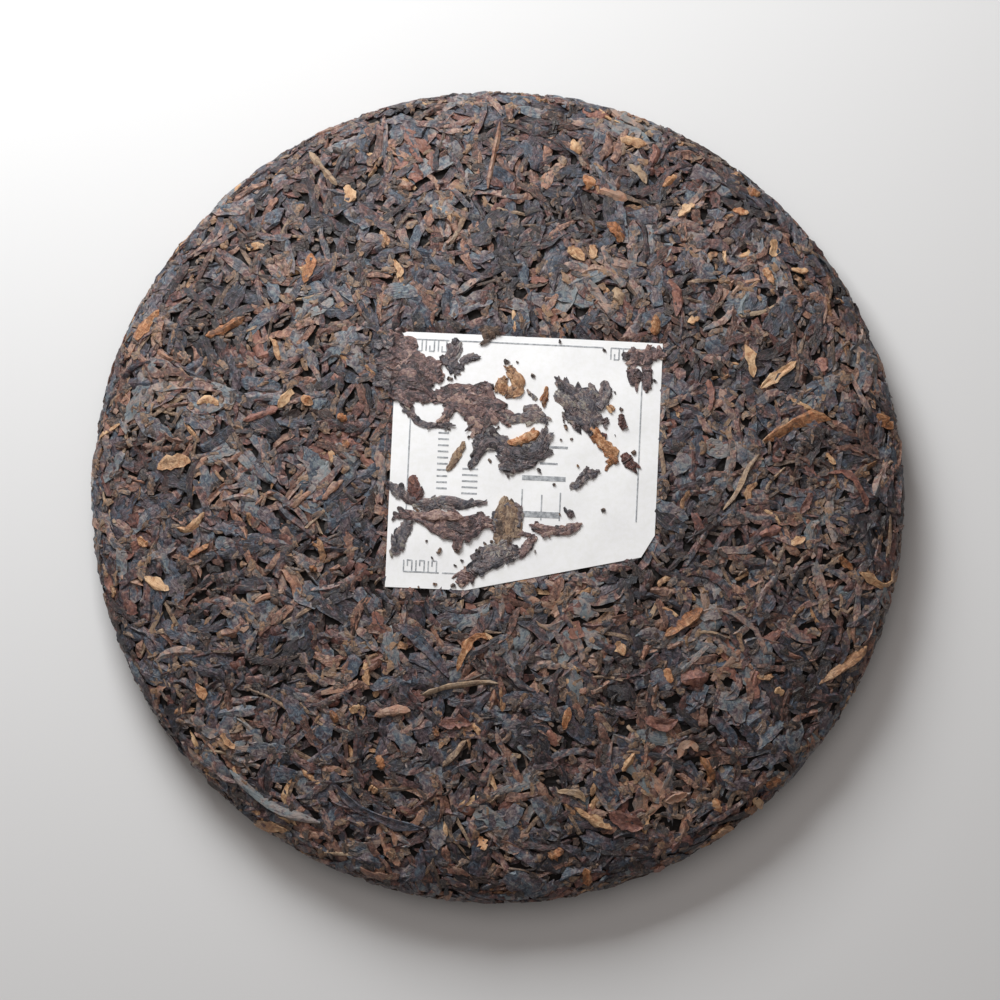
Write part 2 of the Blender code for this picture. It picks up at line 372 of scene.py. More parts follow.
@dataclass(frozen=True)
class LeafKind:
    """One kind of leaf piece in the cake. Ranges are smallest and largest."""

    name: str
    share: float
    length_mm: tuple[float, float]
    width_mm: tuple[float, float]
    thickness_mm: tuple[float, float]
    bend: float
    twist: float
    fold: float
    ragged: float
    tip: float

    def shape(self, blank: Blank, count: int, rng: np.random.Generator) -> tuple[np.ndarray, ...]:
        """Shapes a number of pieces, each along its own first axis.

        Args:
            blank: The tube they are shaped from.
            count: How many.
            rng: The source of chance.

        Returns:
            Places along, across and up, in metres, each (count, points).
        """

        def chance(low: float, high: float) -> np.ndarray:
            """One value for each piece."""
            return rng.uniform(low, high, (count, 1))

        def along_rings(size: float) -> np.ndarray:
            """One normal value for each ring of each piece, given to the ring's points."""
            return rng.normal(0.0, size, (count, blank.rings))[:, blank.ring]

        length, width = chance(*self.length_mm) * MM, chance(*self.width_mm) * MM
        thickness = chance(*self.thickness_mm) * MM
        share = blank.share[None, :]
        end = np.clip(2.0 * np.abs(share), 0.0, 1.0)
        tip = np.clip(self.tip + chance(-0.15, 0.15), 0.1, 1.0)
        lean = 1.0 + chance(-0.5, 0.5) * share
        # Widest near the middle, and leaning to one end
        fullness = (tip + (1.0 - tip) * np.sqrt(1.0 - end**2.6)) * lean
        half = 0.5 * width * fullness * (1.0 + along_rings(self.ragged * 0.7))
        edge = rng.normal(0.0, self.ragged, (count, len(blank.share))) * width * 0.5
        bow, snake = chance(-1, 1) * (end**2 - 0.4), chance(-0.5, 0.5) * np.sin(4.4 * share)
        middle = length * self.bend * (bow + snake)
        across = half * blank.across + edge * np.abs(blank.across) ** 2
        # The blade folds along its middle line and ripples across
        crease = self.fold * half * (np.abs(blank.across) - 0.45) * chance(-1, 1)
        ripple = np.sin(chance(2, 5) * blank.across + chance(0, 6.3) + 3 * share)
        groove = self.fold * half * 0.6 * ripple
        body = 0.5 * thickness * np.sign(blank.up) * np.abs(blank.up) ** 0.7 * (0.35 + 0.65 * fullness)
        rough = rng.normal(0.0, 0.11, (count, len(blank.share))) * thickness
        up = body + crease + groove + rough + along_rings(0.12) * thickness
        tilt = rng.normal(0.0, self.twist * 0.4, (count, 1))
        angle = tilt + rng.normal(0.0, self.twist, (count, 1)) * share
        turned = across * np.cos(angle) - up * np.sin(angle)
        risen = across * np.sin(angle) + up * np.cos(angle)
        # Its ends are torn off unevenly
        along = length * share + rng.normal(0.0, 0.05, (count, len(blank.share))) * length * end**4
        return along, turned + middle, risen


@dataclass
class Piling:
    """Heights of a growing bed of leaves over a side's flat map."""

    reach: float
    cell: float = 0.4 * MM
    cells: int = field(init=False)
    heights: np.ndarray = field(init=False)

    def __post_init__(self) -> None:
        """Starts with a level bed."""
        self.cells = int(2 * self.reach / self.cell) + 1
        self.heights = np.zeros((self.cells, self.cells))

    def index(self, flat: np.ndarray) -> tuple[np.ndarray, np.ndarray]:
        """Rows and columns of places in the map, as fractions."""
        spot = np.clip((flat + self.reach) / self.cell, 0, self.cells - 1.001)
        return spot[..., 1], spot[..., 0]

    def read(self, grid: np.ndarray, flat: np.ndarray) -> np.ndarray:
        """Reads a field between its cells.

        Args:
            grid: A field on this bed's cells.
            flat: (..., 2) places in the map.

        Returns:
            The field at each place.
        """
        row, column = self.index(flat)
        low_row, low_column = row.astype(int), column.astype(int)
        a, b = row - low_row, column - low_column
        near = grid[low_row, low_column] * (1 - b) + grid[low_row, low_column + 1] * b
        far = grid[low_row + 1, low_column] * (1 - b) + grid[low_row + 1, low_column + 1] * b
        return near * (1 - a) + far * a

    def add(self, flat: np.ndarray, heights: np.ndarray) -> None:
        """Raises the bed to these heights at these places."""
        cells = tuple(np.rint(spot).astype(int) for spot in self.index(flat))
        np.maximum.at(self.heights, cells, heights)

    def blurred(self, width: float) -> np.ndarray:
        """The bed smoothed over a width, by a Gaussian in frequency space.

        Args:
            width: Spread of the Gaussian, metres.

        Returns:
            The smoothed heights, one for each cell.
        """
        pitch = np.fft.fftfreq(self.cells, self.cell)
        squares = pitch[:, None] ** 2 + pitch[None, : self.cells // 2 + 1] ** 2
        soften = np.exp(-2 * (math.pi * width) ** 2 * squares)
        return np.fft.irfft2(np.fft.rfft2(self.heights) * soften, s=self.heights.shape)


@dataclass
class Laid:
    """Leaf pieces of one kind, laid on one side's flat map."""

    kind: LeafKind
    blank: Blank
    flat: np.ndarray
    height: np.ndarray
    grain: np.ndarray
    tone: np.ndarray


@dataclass
class Batch:
    """Many copies of one blank, each shaped and placed.

    Points are (pieces, points, 3) and grain, which is (pieces, points, 2), is in millimetres along
    and across each leaf. Tone is (pieces,), a shade from 0 to 1.
    """

    blank: Blank
    points: np.ndarray
    grain: np.ndarray
    tone: np.ndarray


def joined_mesh(name: str, batches: list[Batch]) -> bpy.types.Mesh:
    """Joins batches of pieces into a mesh.

    Args:
        name: The mesh's name.
        batches: The pieces.

    Returns:
        The mesh, with the UV map "grain", the attribute "edge" (0 on a leaf's middle line to 1 at
        its edges) and the attribute "tone".
    """
    loops, totals, points, grain, edge, tone = [], [], [], [], [], []
    first = 0
    for batch in batches:
        pieces, size = batch.points.shape[:2]
        faces = batch.blank.faces
        around = np.array([corner for face in faces for corner in face])
        loops.append((first + np.arange(pieces)[:, None] * size + around[None, :]).ravel())
        totals.append(np.tile([len(face) for face in faces], pieces))
        points.append(batch.points.reshape(-1, 3))
        grain.append(batch.grain.reshape(-1, 2))
        edge.append(np.tile(np.abs(batch.blank.across), pieces))
        tone.append(np.repeat(batch.tone, size))
        first += pieces * size
    all_loops, all_totals = np.concatenate(loops), np.concatenate(totals)
    starts = np.concatenate([[0], np.cumsum(all_totals)[:-1]])
    mesh = bpy.data.meshes.new(name)
    mesh.vertices.add(first)
    mesh.vertices.foreach_set("co", np.concatenate(points).astype(np.float32).ravel())
    mesh.loops.add(len(all_loops))
    mesh.loops.foreach_set("vertex_index", all_loops.astype(np.int32))
    mesh.polygons.add(len(all_totals))
    mesh.polygons.foreach_set("loop_start", starts.astype(np.int32))
    mesh.polygons.foreach_set("loop_total", all_totals.astype(np.int32))
    mesh.update(calc_edges=True)
    mesh.validate()
    layer = mesh.uv_layers.new(name="grain")
    layer.data.foreach_set("uv", np.concatenate(grain)[all_loops].astype(np.float32).ravel())
    for label, values in (("edge", edge), ("tone", tone)):
        attribute = mesh.attributes.new(label, "FLOAT", "POINT")
        attribute.data.foreach_set("value", np.concatenate(values).astype(np.float32))
    mesh.shade_smooth()
    mesh.set_sharp_from_angle(angle=LEAF_EDGE_ANGLE)
    return mesh


# ---------------------------------------------------------------------------------------------
# Finishes
# ---------------------------------------------------------------------------------------------


@dataclass(frozen=True)
class LeafFinish:
    """Dry fermented tea leaf: a fibrous, wrinkled skin with a faint waxy sheen on its ridges.

    Fermenting turns one leaf black and brown in patches, so two palettes are mixed over it. Its ridges and
    edges are painted paler, partly as paler ribs and partly as a painted highlight.
    """

    name: str
    palette: tuple[str, ...]
    warm: tuple[str, ...]
    warm_amount: float
    # Paler colour of ribs and torn edges, which is also a painted highlight on raised ridges and edges
    rib_and_highlight: str
    rib_and_highlight_amount: float = 0.38
    roughness: float = 0.44
    wrinkle_mm: float = 0.36
    wrinkle_length_mm: float = 1.8
    wrinkle_turn: float = 0.0
    wrinkle_depth_mm: float = 0.26
    blotch_mm: float = 1.2
    blotch_swing: float = 2.4
    patch_mm: float = 3.4
    ior: float = 1.6

    def material(self) -> bpy.types.Material:
        """Builds the leaf's material from its own grain, edge and tone.

        Returns:
            The material.
        """
        material, shader = new_material(self.name)
        tree = material.node_tree
        grain = add_node(tree, "ShaderNodeUVMap", {"uv_map": "grain"}).outputs[0]
        tone = add_node(tree, "ShaderNodeAttribute", {"attribute_name": "tone"}).outputs["Fac"]
        edge = add_node(tree, "ShaderNodeAttribute", {"attribute_name": "edge"}).outputs["Fac"]
        # Fibres run the length of the leaf, or aslant where it was rolled
        drawn = add_node(
            tree, "ShaderNodeMapping", {},
            {"Vector": grain, "Rotation": (0.0, 0.0, self.wrinkle_turn),
             "Scale": (1 / self.wrinkle_length_mm, 1 / self.wrinkle_mm, 1.0)},
        )
        # Wrinkles, blotches of shade, and patches that stayed browner
        wrinkle, blotch, patch = (
            add_node(
                tree, "ShaderNodeTexNoise", {"noise_dimensions": "2D"},
                {"Vector": vector, "Scale": scale, "Detail": detail, "Roughness": rough, "Distortion": bent},
            ).outputs[0]
            for vector, scale, detail, rough, bent in (
                (drawn.outputs[0], 1.0, 4.0, 0.6, 0.8),
                (grain, 1 / self.blotch_mm, 5.0, 0.7, 0.5),
                (grain, 1 / self.patch_mm, 3.0, 0.6, 0.6),
            )
        )
        swing = add_node(
            tree, "ShaderNodeMath", {"operation": "MULTIPLY_ADD"},
            {0: blotch, 1: self.blotch_swing, 2: -self.blotch_swing / 2},
        ).outputs[0]
        shade = add_node(tree, "ShaderNodeMath", {"operation": "ADD"}, {0: tone, 1: swing}).outputs[0]
        ramps = []
        for palette in (self.palette, self.warm):
            stops = [(i / (len(palette) - 1), code) for i, code in enumerate(palette)]
            ramps.append(add_node(tree, "ShaderNodeValToRGB", {}, {0: shade}, stops).outputs[0])
        warmth = add_node(
            tree, "ShaderNodeMapRange", {}, {0: patch, 1: 0.42, 2: 0.60, 3: 0.0, 4: self.warm_amount}
        ).outputs[0]
        mixed = {0: warmth, 6: ramps[0], 7: ramps[1]}
        blade = add_node(tree, "ShaderNodeMix", {"data_type": "RGBA"}, mixed).outputs[2]
        # Ribs and torn edges are paler than the blade, and this paler colour on raised ridges, strongest at
        # the edges, is also a painted highlight
        ridge_highlight = add_node(
            tree, "ShaderNodeMapRange", {}, {0: wrinkle, 1: 0.52, 2: 0.70, 3: 0.0, 4: self.rib_and_highlight_amount}
        ).outputs[0]
        rim = add_node(
            tree, "ShaderNodeMapRange", {}, {0: edge, 1: 0.6, 2: 1.0, 3: 0.5, 4: 1.1}
        ).outputs[0]
        # Where the paler ribs and the painted highlight are mixed in: on raised ridges, more towards the
        # edges
        pale = add_node(tree, "ShaderNodeMath", {"operation": "MULTIPLY"}, {0: ridge_highlight, 1: rim}).outputs[0]
        ribbed_and_highlit = {0: pale, 6: blade, 7: linear_colour(self.rib_and_highlight)}
        colour = add_node(tree, "ShaderNodeMix", {"data_type": "RGBA"}, ribbed_and_highlit).outputs[2]
        # Pressed ridges are glossier than the furrows between them
        gloss = add_node(
            tree, "ShaderNodeMapRange", {},
            {0: wrinkle, 1: 0.3, 2: 0.7, 3: self.roughness + 0.16, 4: self.roughness - 0.08},
        ).outputs[0]
        raised = {0: blotch, 1: 0.8, 2: wrinkle}
        relief = add_node(tree, "ShaderNodeMath", {"operation": "MULTIPLY_ADD"}, raised).outputs[0]
        depth = {"Height": relief, "Strength": 1.0, "Distance": self.wrinkle_depth_mm * MM}
        bump = add_node(tree, "ShaderNodeBump", {}, depth).outputs[0]
        tree.links.new(colour, shader.inputs["Base Color"])
        tree.links.new(gloss, shader.inputs["Roughness"])
        tree.links.new(bump, shader.inputs["Normal"])
        shader.inputs["IOR"].default_value = self.ior
        return material


@dataclass(frozen=True)
class FinesInPaintedShadeFinish:
    """Pressed fines: leaf dust and broken leaf between the larger pieces, coloured near black as painted
    shade in the gaps between the leaves.
    """

    name: str = "pressed tea fines in painted shade"
    # Both colours are near black: painted shade for the gaps between the leaves
    dark: str = "#0a0808"
    light: str = "#1c1513"
    crumb_mm: float = 1.1
    crumb_depth_mm: float = 0.4
    stain_mm: float = 3.0

    def material(self) -> bpy.types.Material:
        """Builds the fines' material.

        Returns:
            The material.
        """
        material, shader = new_material(self.name)
        tree = material.node_tree
        place = add_node(tree, "ShaderNodeTexCoord")
        crumb = add_node(
            tree, "ShaderNodeTexVoronoi", {},
            {"Vector": place.outputs["Object"], "Scale": 1 / (self.crumb_mm * MM)},
        )
        stain = add_node(
            tree, "ShaderNodeTexNoise", {},
            {"Vector": place.outputs["Object"], "Scale": 1 / (self.stain_mm * MM), "Detail": 3.0},
        )
        stops = [(0.35, self.dark), (0.7, self.light)]
        colour = add_node(tree, "ShaderNodeValToRGB", {}, {0: stain.outputs[0]}, stops)
        bump = add_node(
            tree, "ShaderNodeBump", {},
            {"Height": crumb.outputs["Distance"], "Strength": 1.0, "Distance": self.crumb_depth_mm * MM},
        )
        tree.links.new(colour.outputs[0], shader.inputs["Base Color"])
        tree.links.new(bump.outputs[0], shader.inputs["Normal"])
        shader.inputs["Roughness"].default_value = 0.85
        return material


@dataclass(frozen=True)
class PaperFinish:
    """Thin uncoated mulberry paper: matt white, with a soft mottle of fibres."""

    name: str = "thin ticket paper"
    white: str = "#eeeeef"
    fibre: str = "#eaeae9"
    mottle_mm: float = 1.4
    relief_mm: float = 0.05

    def material(self) -> bpy.types.Material:
        """Builds the paper's material.

        Returns:
            The material.
        """
        material, shader = new_material(self.name)
        tree = material.node_tree
        place = add_node(tree, "ShaderNodeTexCoord")
        mottle = add_node(
            tree, "ShaderNodeTexNoise", {},
            {"Vector": place.outputs["Object"], "Scale": 1 / (self.mottle_mm * MM), "Detail": 5.0,
             "Roughness": 0.65},
        )
        stops = [(0.38, self.fibre), (0.6, self.white)]
        colour = add_node(tree, "ShaderNodeValToRGB", {}, {0: mottle.outputs[0]}, stops)
        depth = {"Height": mottle.outputs[0], "Strength": 0.2, "Distance": self.relief_mm * MM}
        bump = add_node(tree, "ShaderNodeBump", {}, depth)
        tree.links.new(colour.outputs[0], shader.inputs["Base Color"])
        tree.links.new(bump.outputs[0], shader.inputs["Normal"])
        shader.inputs["Roughness"].default_value = 0.8
        shader.inputs["IOR"].default_value = 1.4
        return material


@dataclass(frozen=True)
class InkFinish:
    """Thin grey printing ink that sank into the paper, uneven where the plate pressed lightly."""

    name: str = "grey printing ink"
    full: str = "#85888c"
    faint: str = "#b9bcbf"
    wear_mm: float = 1.0

    def material(self) -> bpy.types.Material:
        """Builds the ink's material.

        Returns:
            The material.
        """
        material, shader = new_material(self.name)
        tree = material.node_tree
        place = add_node(tree, "ShaderNodeTexCoord")
        wear = add_node(
            tree, "ShaderNodeTexNoise", {},
            {"Vector": place.outputs["Object"], "Scale": 1 / (self.wear_mm * MM), "Detail": 4.0,
             "Roughness": 0.7},
        )
        stops = [(0.4, self.full), (0.62, self.faint)]
        colour = add_node(tree, "ShaderNodeValToRGB", {}, {0: wear.outputs[0]}, stops)
        tree.links.new(colour.outputs[0], shader.inputs["Base Color"])
        shader.inputs["Roughness"].default_value = 0.8
        return material


@dataclass(frozen=True)
class FloorFinish:
    """Matt pale studio board."""

    name: str = "pale studio board"
    tint: str = "#d9d9d9"

    def material(self) -> bpy.types.Material:
        """Builds the board's material.

        Returns:
            The finished material.
        """
        material, shader = new_material(self.name)
        shader.inputs["Base Color"].default_value = linear_colour(self.tint)
        shader.inputs["Roughness"].default_value = 0.9
        return material


PLUM_BROWNS = ("#271213", "#4b2926", "#6d443d", "#8f685b", "#ad8b79")
DUSTY_BROWNS = ("#362422", "#62473f", "#8b6b63", "#ab8c80")


class Leaves(Enum):
    """The finishes that leaf pieces come in."""

    FOLDED = LeafFinish(
        "charcoal folded tea leaf", ("#11151d", "#212836", "#354050", "#4f5c68", "#71797c"), PLUM_BROWNS,
        0.40, "#9a8b80",
    )
    ROLLED = LeafFinish(
        "charcoal rolled tea leaf", ("#141219", "#24232c", "#373a45", "#4f525b", "#716e6c"), PLUM_BROWNS,
        0.80, "#9a8877", wrinkle_turn=0.45,
    )
    BROWN = LeafFinish(
        "brown tea leaf", ("#251716", "#462d29", "#64483f", "#846557", "#9f806d"),
        ("#2e1b17", "#5b3930", "#815241", "#a87256"), 0.6, "#b0967c", wrinkle_turn=0.3,
    )
    RED = LeafFinish(
        "red brown tea leaf", ("#241517", "#452927", "#613c36", "#7e5648"),
        ("#301b1a", "#5a3530", "#7d4d42", "#9e6d5c"), 0.8, "#a28270",
    )
    GOLD = LeafFinish(
        "golden tea bud", ("#4f3322", "#835a3c", "#aa7a55", "#c8a078"),
        ("#5e4635", "#8d6c50", "#b08e6d", "#cfb08c"), 0.7, "#dcb88e", 0.5, 0.5,
    )
    AMBER = LeafFinish(
        "amber tea leaf", ("#583820", "#8c5c37", "#af7f58", "#c6a07e"),
        ("#542d18", "#8d5129", "#b27045", "#ca976c"), 0.7, "#d8b48e", 0.4, 0.48,
    )
    STEM = LeafFinish(
        "dry tea stem", ("#3c2f29", "#5e4c41", "#816b5a", "#a18b74"),
        ("#35271f", "#5f4637", "#88694f", "#aa8b6a"), 0.6, "#b8a48c", 0.4, 0.55, 0.3, 5.0,
    )
    SMOKY = LeafFinish(
        "smoky pressed leaf", ("#201f26", "#3e3e48", "#59545a", "#75706e", "#958e82"), DUSTY_BROWNS,
        0.45, "#ab9f92", wrinkle_turn=0.45,
    )
    DUSTY = LeafFinish(
        "dusty brown pressed leaf", ("#282026", "#4b3e43", "#6a5354", "#866b66", "#9f887a"), DUSTY_BROWNS,
        0.6, "#b09a8a", wrinkle_turn=0.3,
    )
    CRUMB = LeafFinish(
        "broken tea leaf", ("#171315", "#302b2d", "#484243", "#695a51", "#8d745f"),
        ("#281a17", "#4d372e", "#725440", "#98714f"), 0.7, "#9b8874", blotch_mm=0.9,
    )


# ---------------------------------------------------------------------------------------------
# The bed of pressed leaves
# ---------------------------------------------------------------------------------------------

# Each kind's name and share of the bed; ranges of length, width and thickness in mm; then how much
# it bends, twists, folds and is ragged, and how blunt its ends are
KINDS: tuple[tuple[LeafKind, Leaves], ...] = (
    (LeafKind("folded_leaves", 0.26, (5.5, 11), (2.8, 5.2), (0.7, 1.3), 0.10, 0.22, 0.28, 0.14, 0.6),
     Leaves.FOLDED),
    (LeafKind("rolled_leaves", 0.36, (5.5, 13), (1.5, 2.9), (0.9, 1.7), 0.15, 0.45, 0.36, 0.13, 0.6),
     Leaves.ROLLED),
    (LeafKind("brown_leaves", 0.19, (4.5, 10.5), (1.4, 3.0), (0.8, 1.5), 0.15, 0.40, 0.36, 0.15, 0.6),
     Leaves.BROWN),
    (LeafKind("red_flakes", 0.07, (3.5, 7.5), (2.0, 3.8), (0.5, 1.1), 0.12, 0.30, 0.30, 0.18, 0.65),
     Leaves.RED),
    (LeafKind("golden_buds", 0.055, (2.5, 8), (0.9, 2.0), (0.7, 1.3), 0.18, 0.45, 0.30, 0.15, 0.45),
     Leaves.GOLD),
    (LeafKind("dry_stems", 0.065, (5, 12), (0.7, 1.4), (0.7, 1.1), 0.07, 0.30, 0.12, 0.07, 0.85),
     Leaves.STEM),
)
CRUMBS = LeafKind("broken_leaf", 1.0, (1.4, 3.6), (0.8, 2.0), (0.5, 1.1), 0.15, 0.4, 0.35, 0.16, 0.7)
FLAKES = LeafKind("flakes", 1.0, (3.0, 7.5), (1.3, 3.0), (0.4, 0.75), 0.10, 0.15, 0.20, 0.12, 0.5)
SPECKS = LeafKind("specks", 1.0, (1.2, 1.9), (0.9, 1.4), (0.5, 0.9), 0.15, 0.3, 0.35, 0.20, 0.6)


@dataclass
class LeafBed:
    """All the loose-cut leaf on one side of the cake, laid in layers and pressed level."""

    side: Side
    skin: Skin
    seed: int
    layers: int
    per_layer: int
    over_rim: float = 4.0 * MM
    sink: float = 0.0
    proud: float = 0.40 * MM
    loose: float = 0.55 * MM
    deepest: float = 1.0 * MM
    broken: int = 3300
    margin: float = 16 * MM
    give: float = 1.1 * MM
    broken_give: float = 0.9 * MM
    rim_width: float = 12 * MM
    rim_share: float = 0.75
    hidden_under: float = 0.12 * MM
    least_seen: float = 0.06
    tucked: float = 1.0 * MM
    over_floor: float = 0.02 * MM
    drift: Waves = Waves(26.0, 0.13, 41)
    stack: list[Laid] = field(default_factory=list)
    blank: Blank = field(default_factory=lambda: Blank(7, 6))
    small_blank: Blank = field(default_factory=lambda: Blank(4, 5))

    def build(self, ticket: Ticket | None) -> Piling:
        """Lays every layer and turns the pieces that still show into meshes.

        Args:
            ticket: The paper that lies over this side's leaves, if any.

        Returns:
            The finished bed's heights.
        """
        rng = np.random.default_rng(self.seed)
        bed = Piling(self.skin.reach(self.side) + self.margin)
        for layer in range(self.layers):
            self.lay_layer(layer, bed, rng)
        self.lay_broken(bed, rng)
        level = bed.blurred(LEVEL_WIDTH)
        for kind, finish in (*KINDS, (CRUMBS, Leaves.CRUMB)):
            self.dress(kind, finish, bed, level, ticket)
        return bed

    def lay_layer(self, layer: int, bed: Piling, rng: np.random.Generator) -> None:
        """Lays one layer of every kind on the bed.

        Args:
            layer: Its number, from the bottom.
            bed: The bed so far.
            rng: The source of chance.
        """
        soft = bed.blurred(self.give)
        reach = self.skin.reach(self.side) + self.over_rim
        count = self.per_layer
        order = np.arange(count)
        radius = reach * np.sqrt((order + 0.5) / count) + rng.normal(0.0, 1.2 * MM, count)
        angle = order * GOLDEN_ANGLE + layer * 1.7 + rng.normal(0.0, 0.02, count)
        middle = np.stack([radius * np.cos(angle), radius * np.sin(angle)], axis=1)
        middle += rng.normal(0.0, 1.1 * MM, middle.shape)
        heading = rng.uniform(0.0, math.tau, count)
        # Most leaves near the rim lie along it
        near_rim = radius > self.skin.reach(self.side) - self.rim_width
        rim = near_rim & (rng.random(count) < self.rim_share)
        heading[rim] = angle[rim] + math.pi / 2 + rng.normal(0.0, 0.4, int(rim.sum()))
        bounds = np.cumsum([kind.share for kind, _ in KINDS])
        chosen = np.searchsorted(bounds / bounds[-1], rng.random(count))
        laid_now = []
        for number, (kind, _) in enumerate(KINDS):
            mine = chosen == number
            laid_now.append(self.lay(kind, self.blank, middle[mine], heading[mine], bed, soft, rng))
        for laid in laid_now:
            bed.add(*self.spread(laid))
        self.stack += laid_now

    def lay(self, kind: LeafKind, blank: Blank, middle: np.ndarray, heading: np.ndarray, bed: Piling,
            soft: np.ndarray, rng: np.random.Generator, lift: float = 0.25 * MM) -> Laid:
        """Shapes pieces of a kind and lays them on the bed.

        Args:
            kind: The kind.
            blank: The tube they are shaped from.
            middle: (count, 2) places of their middles in the map.
            heading: (count,) directions of their length.
            bed: The bed so far.
            soft: Its heights, smoothed as far as a damp leaf gives way.
            rng: The source of chance.
            lift: Height of their middles over the bed.

        Returns:
            The pieces.
        """
        along, across, up = kind.shape(blank, len(heading), rng)
        c, s = np.cos(heading)[:, None], np.sin(heading)[:, None]
        flat = np.stack([along * c - across * s, along * s + across * c], axis=-1) + middle[:, None, :]
        ground = bed.read(soft, flat)
        # A stiff leaf follows the bed only in part, and bridges the rest
        base = 0.65 * ground + 0.35 * ground.mean(axis=1, keepdims=True)
        height = base + up + lift + rng.uniform(-0.15, 0.25, (len(up), 1)) * MM
        grain = np.stack([along, across], axis=-1) / MM
        grain = grain + rng.uniform(0.0, GRAIN_SPREAD_MM, (len(up), 1, 2))
        tone = 0.10 + 0.80 * rng.random(len(up)) + self.drift.heights(middle) / MM
        return Laid(kind, blank, flat, height, grain, tone)

    def lay_broken(self, bed: Piling, rng: np.random.Generator) -> None:
        """Sifts broken leaf over the bed, which fills the gaps between the pieces.

        Args:
            bed: The bed so far.
            rng: The source of chance.
        """
        soft = bed.blurred(self.broken_give)
        reach = self.skin.reach(self.side) + self.over_rim
        radius = reach * np.sqrt(rng.random(self.broken))
        angle = rng.uniform(0.0, math.tau, self.broken)
        middle = np.stack([radius * np.cos(angle), radius * np.sin(angle)], axis=1)
        heading = rng.uniform(0.0, math.tau, self.broken)
        laid = self.lay(CRUMBS, self.small_blank, middle, heading, bed, soft, rng, lift=0.0)
        bed.add(*self.spread(laid))
        self.stack.append(laid)

    def spread(self, laid: Laid) -> tuple[np.ndarray, np.ndarray]:
        """Gives many places on the pieces' surfaces, closer together than the bed's cells.

        Args:
            laid: The pieces.

        Returns:
            (pieces, places, 2) places in the map and (pieces, places) heights.
        """
        fine = []
        for own in (laid.flat[..., 0], laid.flat[..., 1], laid.height):
            values = laid.blank.lattice(own)
            closed = np.concatenate([values, values[:, :, :1]], axis=2)
            steps = [closed[:, :-1] * (1 - t) + closed[:, 1:] * t for t in (0.0, 0.25, 0.5, 0.75)]
            long_way = np.concatenate(steps, axis=1)
            around = [long_way[:, :, :-1] * (1 - t) + long_way[:, :, 1:] * t for t in (0.0, 0.5)]
            fine.append(np.concatenate(around, axis=2).reshape(len(values), -1))
        return np.stack(fine[:2], axis=-1), fine[2]

    def pressed(self, flat: np.ndarray, height: np.ndarray) -> np.ndarray:
        """Presses the bed level, which leaves the rim looser than the flat of the face.

        Args:
            flat: Places in the map.
            height: Heights over the bed's own level there.

        Returns:
            Heights over the skin.
        """
        way = np.hypot(flat[..., 0], flat[..., 1]) / self.skin.reach(self.side)
        proud = self.proud + self.loose * np.clip((way - 0.8) / 0.2, 0.0, 1.0)
        most = np.where(height > 0, proud, self.deepest)
        return most * np.tanh(height / most) - self.sink

    def dress(self, kind: LeafKind, finish: Leaves, bed: Piling, level: np.ndarray,
              ticket: Ticket | None) -> None:
        """Makes one mesh of the pieces of a kind that still show.

        Args:
            kind: The kind.
            finish: Its finish.
            bed: The finished bed.
            level: The bed's heights smoothed, which pressing makes level.
            ticket: The paper over this side's leaves, if any.
        """
        batches = []
        for laid in (entry for entry in self.stack if entry.kind is kind):
            flat, height = self.spread(laid)
            on_top = height > bed.read(bed.heights, flat) - self.hidden_under
            seen = on_top.mean(axis=1) > self.least_seen
            if ticket:
                seen &= (ticket.distance(laid.flat) > -self.tucked).any(axis=1)
            flat = laid.flat[seen]
            press = self.pressed(flat, laid.height[seen] - bed.read(level, flat))
            if ticket:
                press = ticket.hold_down(flat, press)
            placed = self.skin.lay(self.side, flat, press)
            placed[..., 2] = np.maximum(placed[..., 2], self.over_floor)
            batches.append(Batch(laid.blank, placed, laid.grain[seen], laid.tone[seen]))
        mesh = joined_mesh(f"{kind.name}_{self.side.value}", batches)
        link_piece(mesh.name, mesh, MATERIALS[finish.name])


@dataclass
class Core:
    """The body of pressed fines under the leaves, which stands for the CAD solid."""

    skin: Skin
    sink: float = 1.15 * MM
    turns: int = 220
    rings: int = 170
    lumps: tuple[Waves, Waves] = (Waves(6.0, 0.12, 11), Waves(2.2, 0.12, 12))

    def build(self) -> None:
        """Spins the skin's profile into a closed body with a crumbly relief."""
        table = self.skin.table
        ways = np.linspace(0.0, table["way"][-1], self.rings)
        radius = np.interp(ways, table["way"], table["r"])
        height = np.interp(ways, table["way"], table["z"])
        made = bmesh.new()
        column = [made.verts.new((r, 0.0, z)) for r, z in zip(radius, height)]
        edges = [made.edges.new(pair) for pair in zip(column, column[1:])]
        bmesh.ops.spin(
            made, geom=column + edges, cent=(0, 0, 0), axis=(0, 0, 1), angle=math.tau,
            steps=self.turns, use_merge=True,
        )
        bmesh.ops.remove_doubles(made, verts=made.verts[:], dist=0.01 * MM)
        bmesh.ops.recalc_face_normals(made, faces=made.faces[:])
        made.normal_update()
        coarse, fine = self.lumps
        for vertex in made.verts:
            place = np.array([vertex.co.x + vertex.co.z, vertex.co.y - vertex.co.z])
            lift = float(coarse.heights(place) + fine.heights(place))
            vertex.co += vertex.normal * (lift - self.sink)
        mesh = bpy.data.meshes.new("pressed_core")
        made.to_mesh(mesh)
        made.free()
        mesh.shade_smooth()
        # The core's near-black colour is painted shade where it shows between the leaves
        piece = link_piece("pressed_core", mesh, FinesInPaintedShadeFinish().material())
        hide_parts("cake")


# ---------------------------------------------------------------------------------------------
# The ticket and what lies on it
# ---------------------------------------------------------------------------------------------


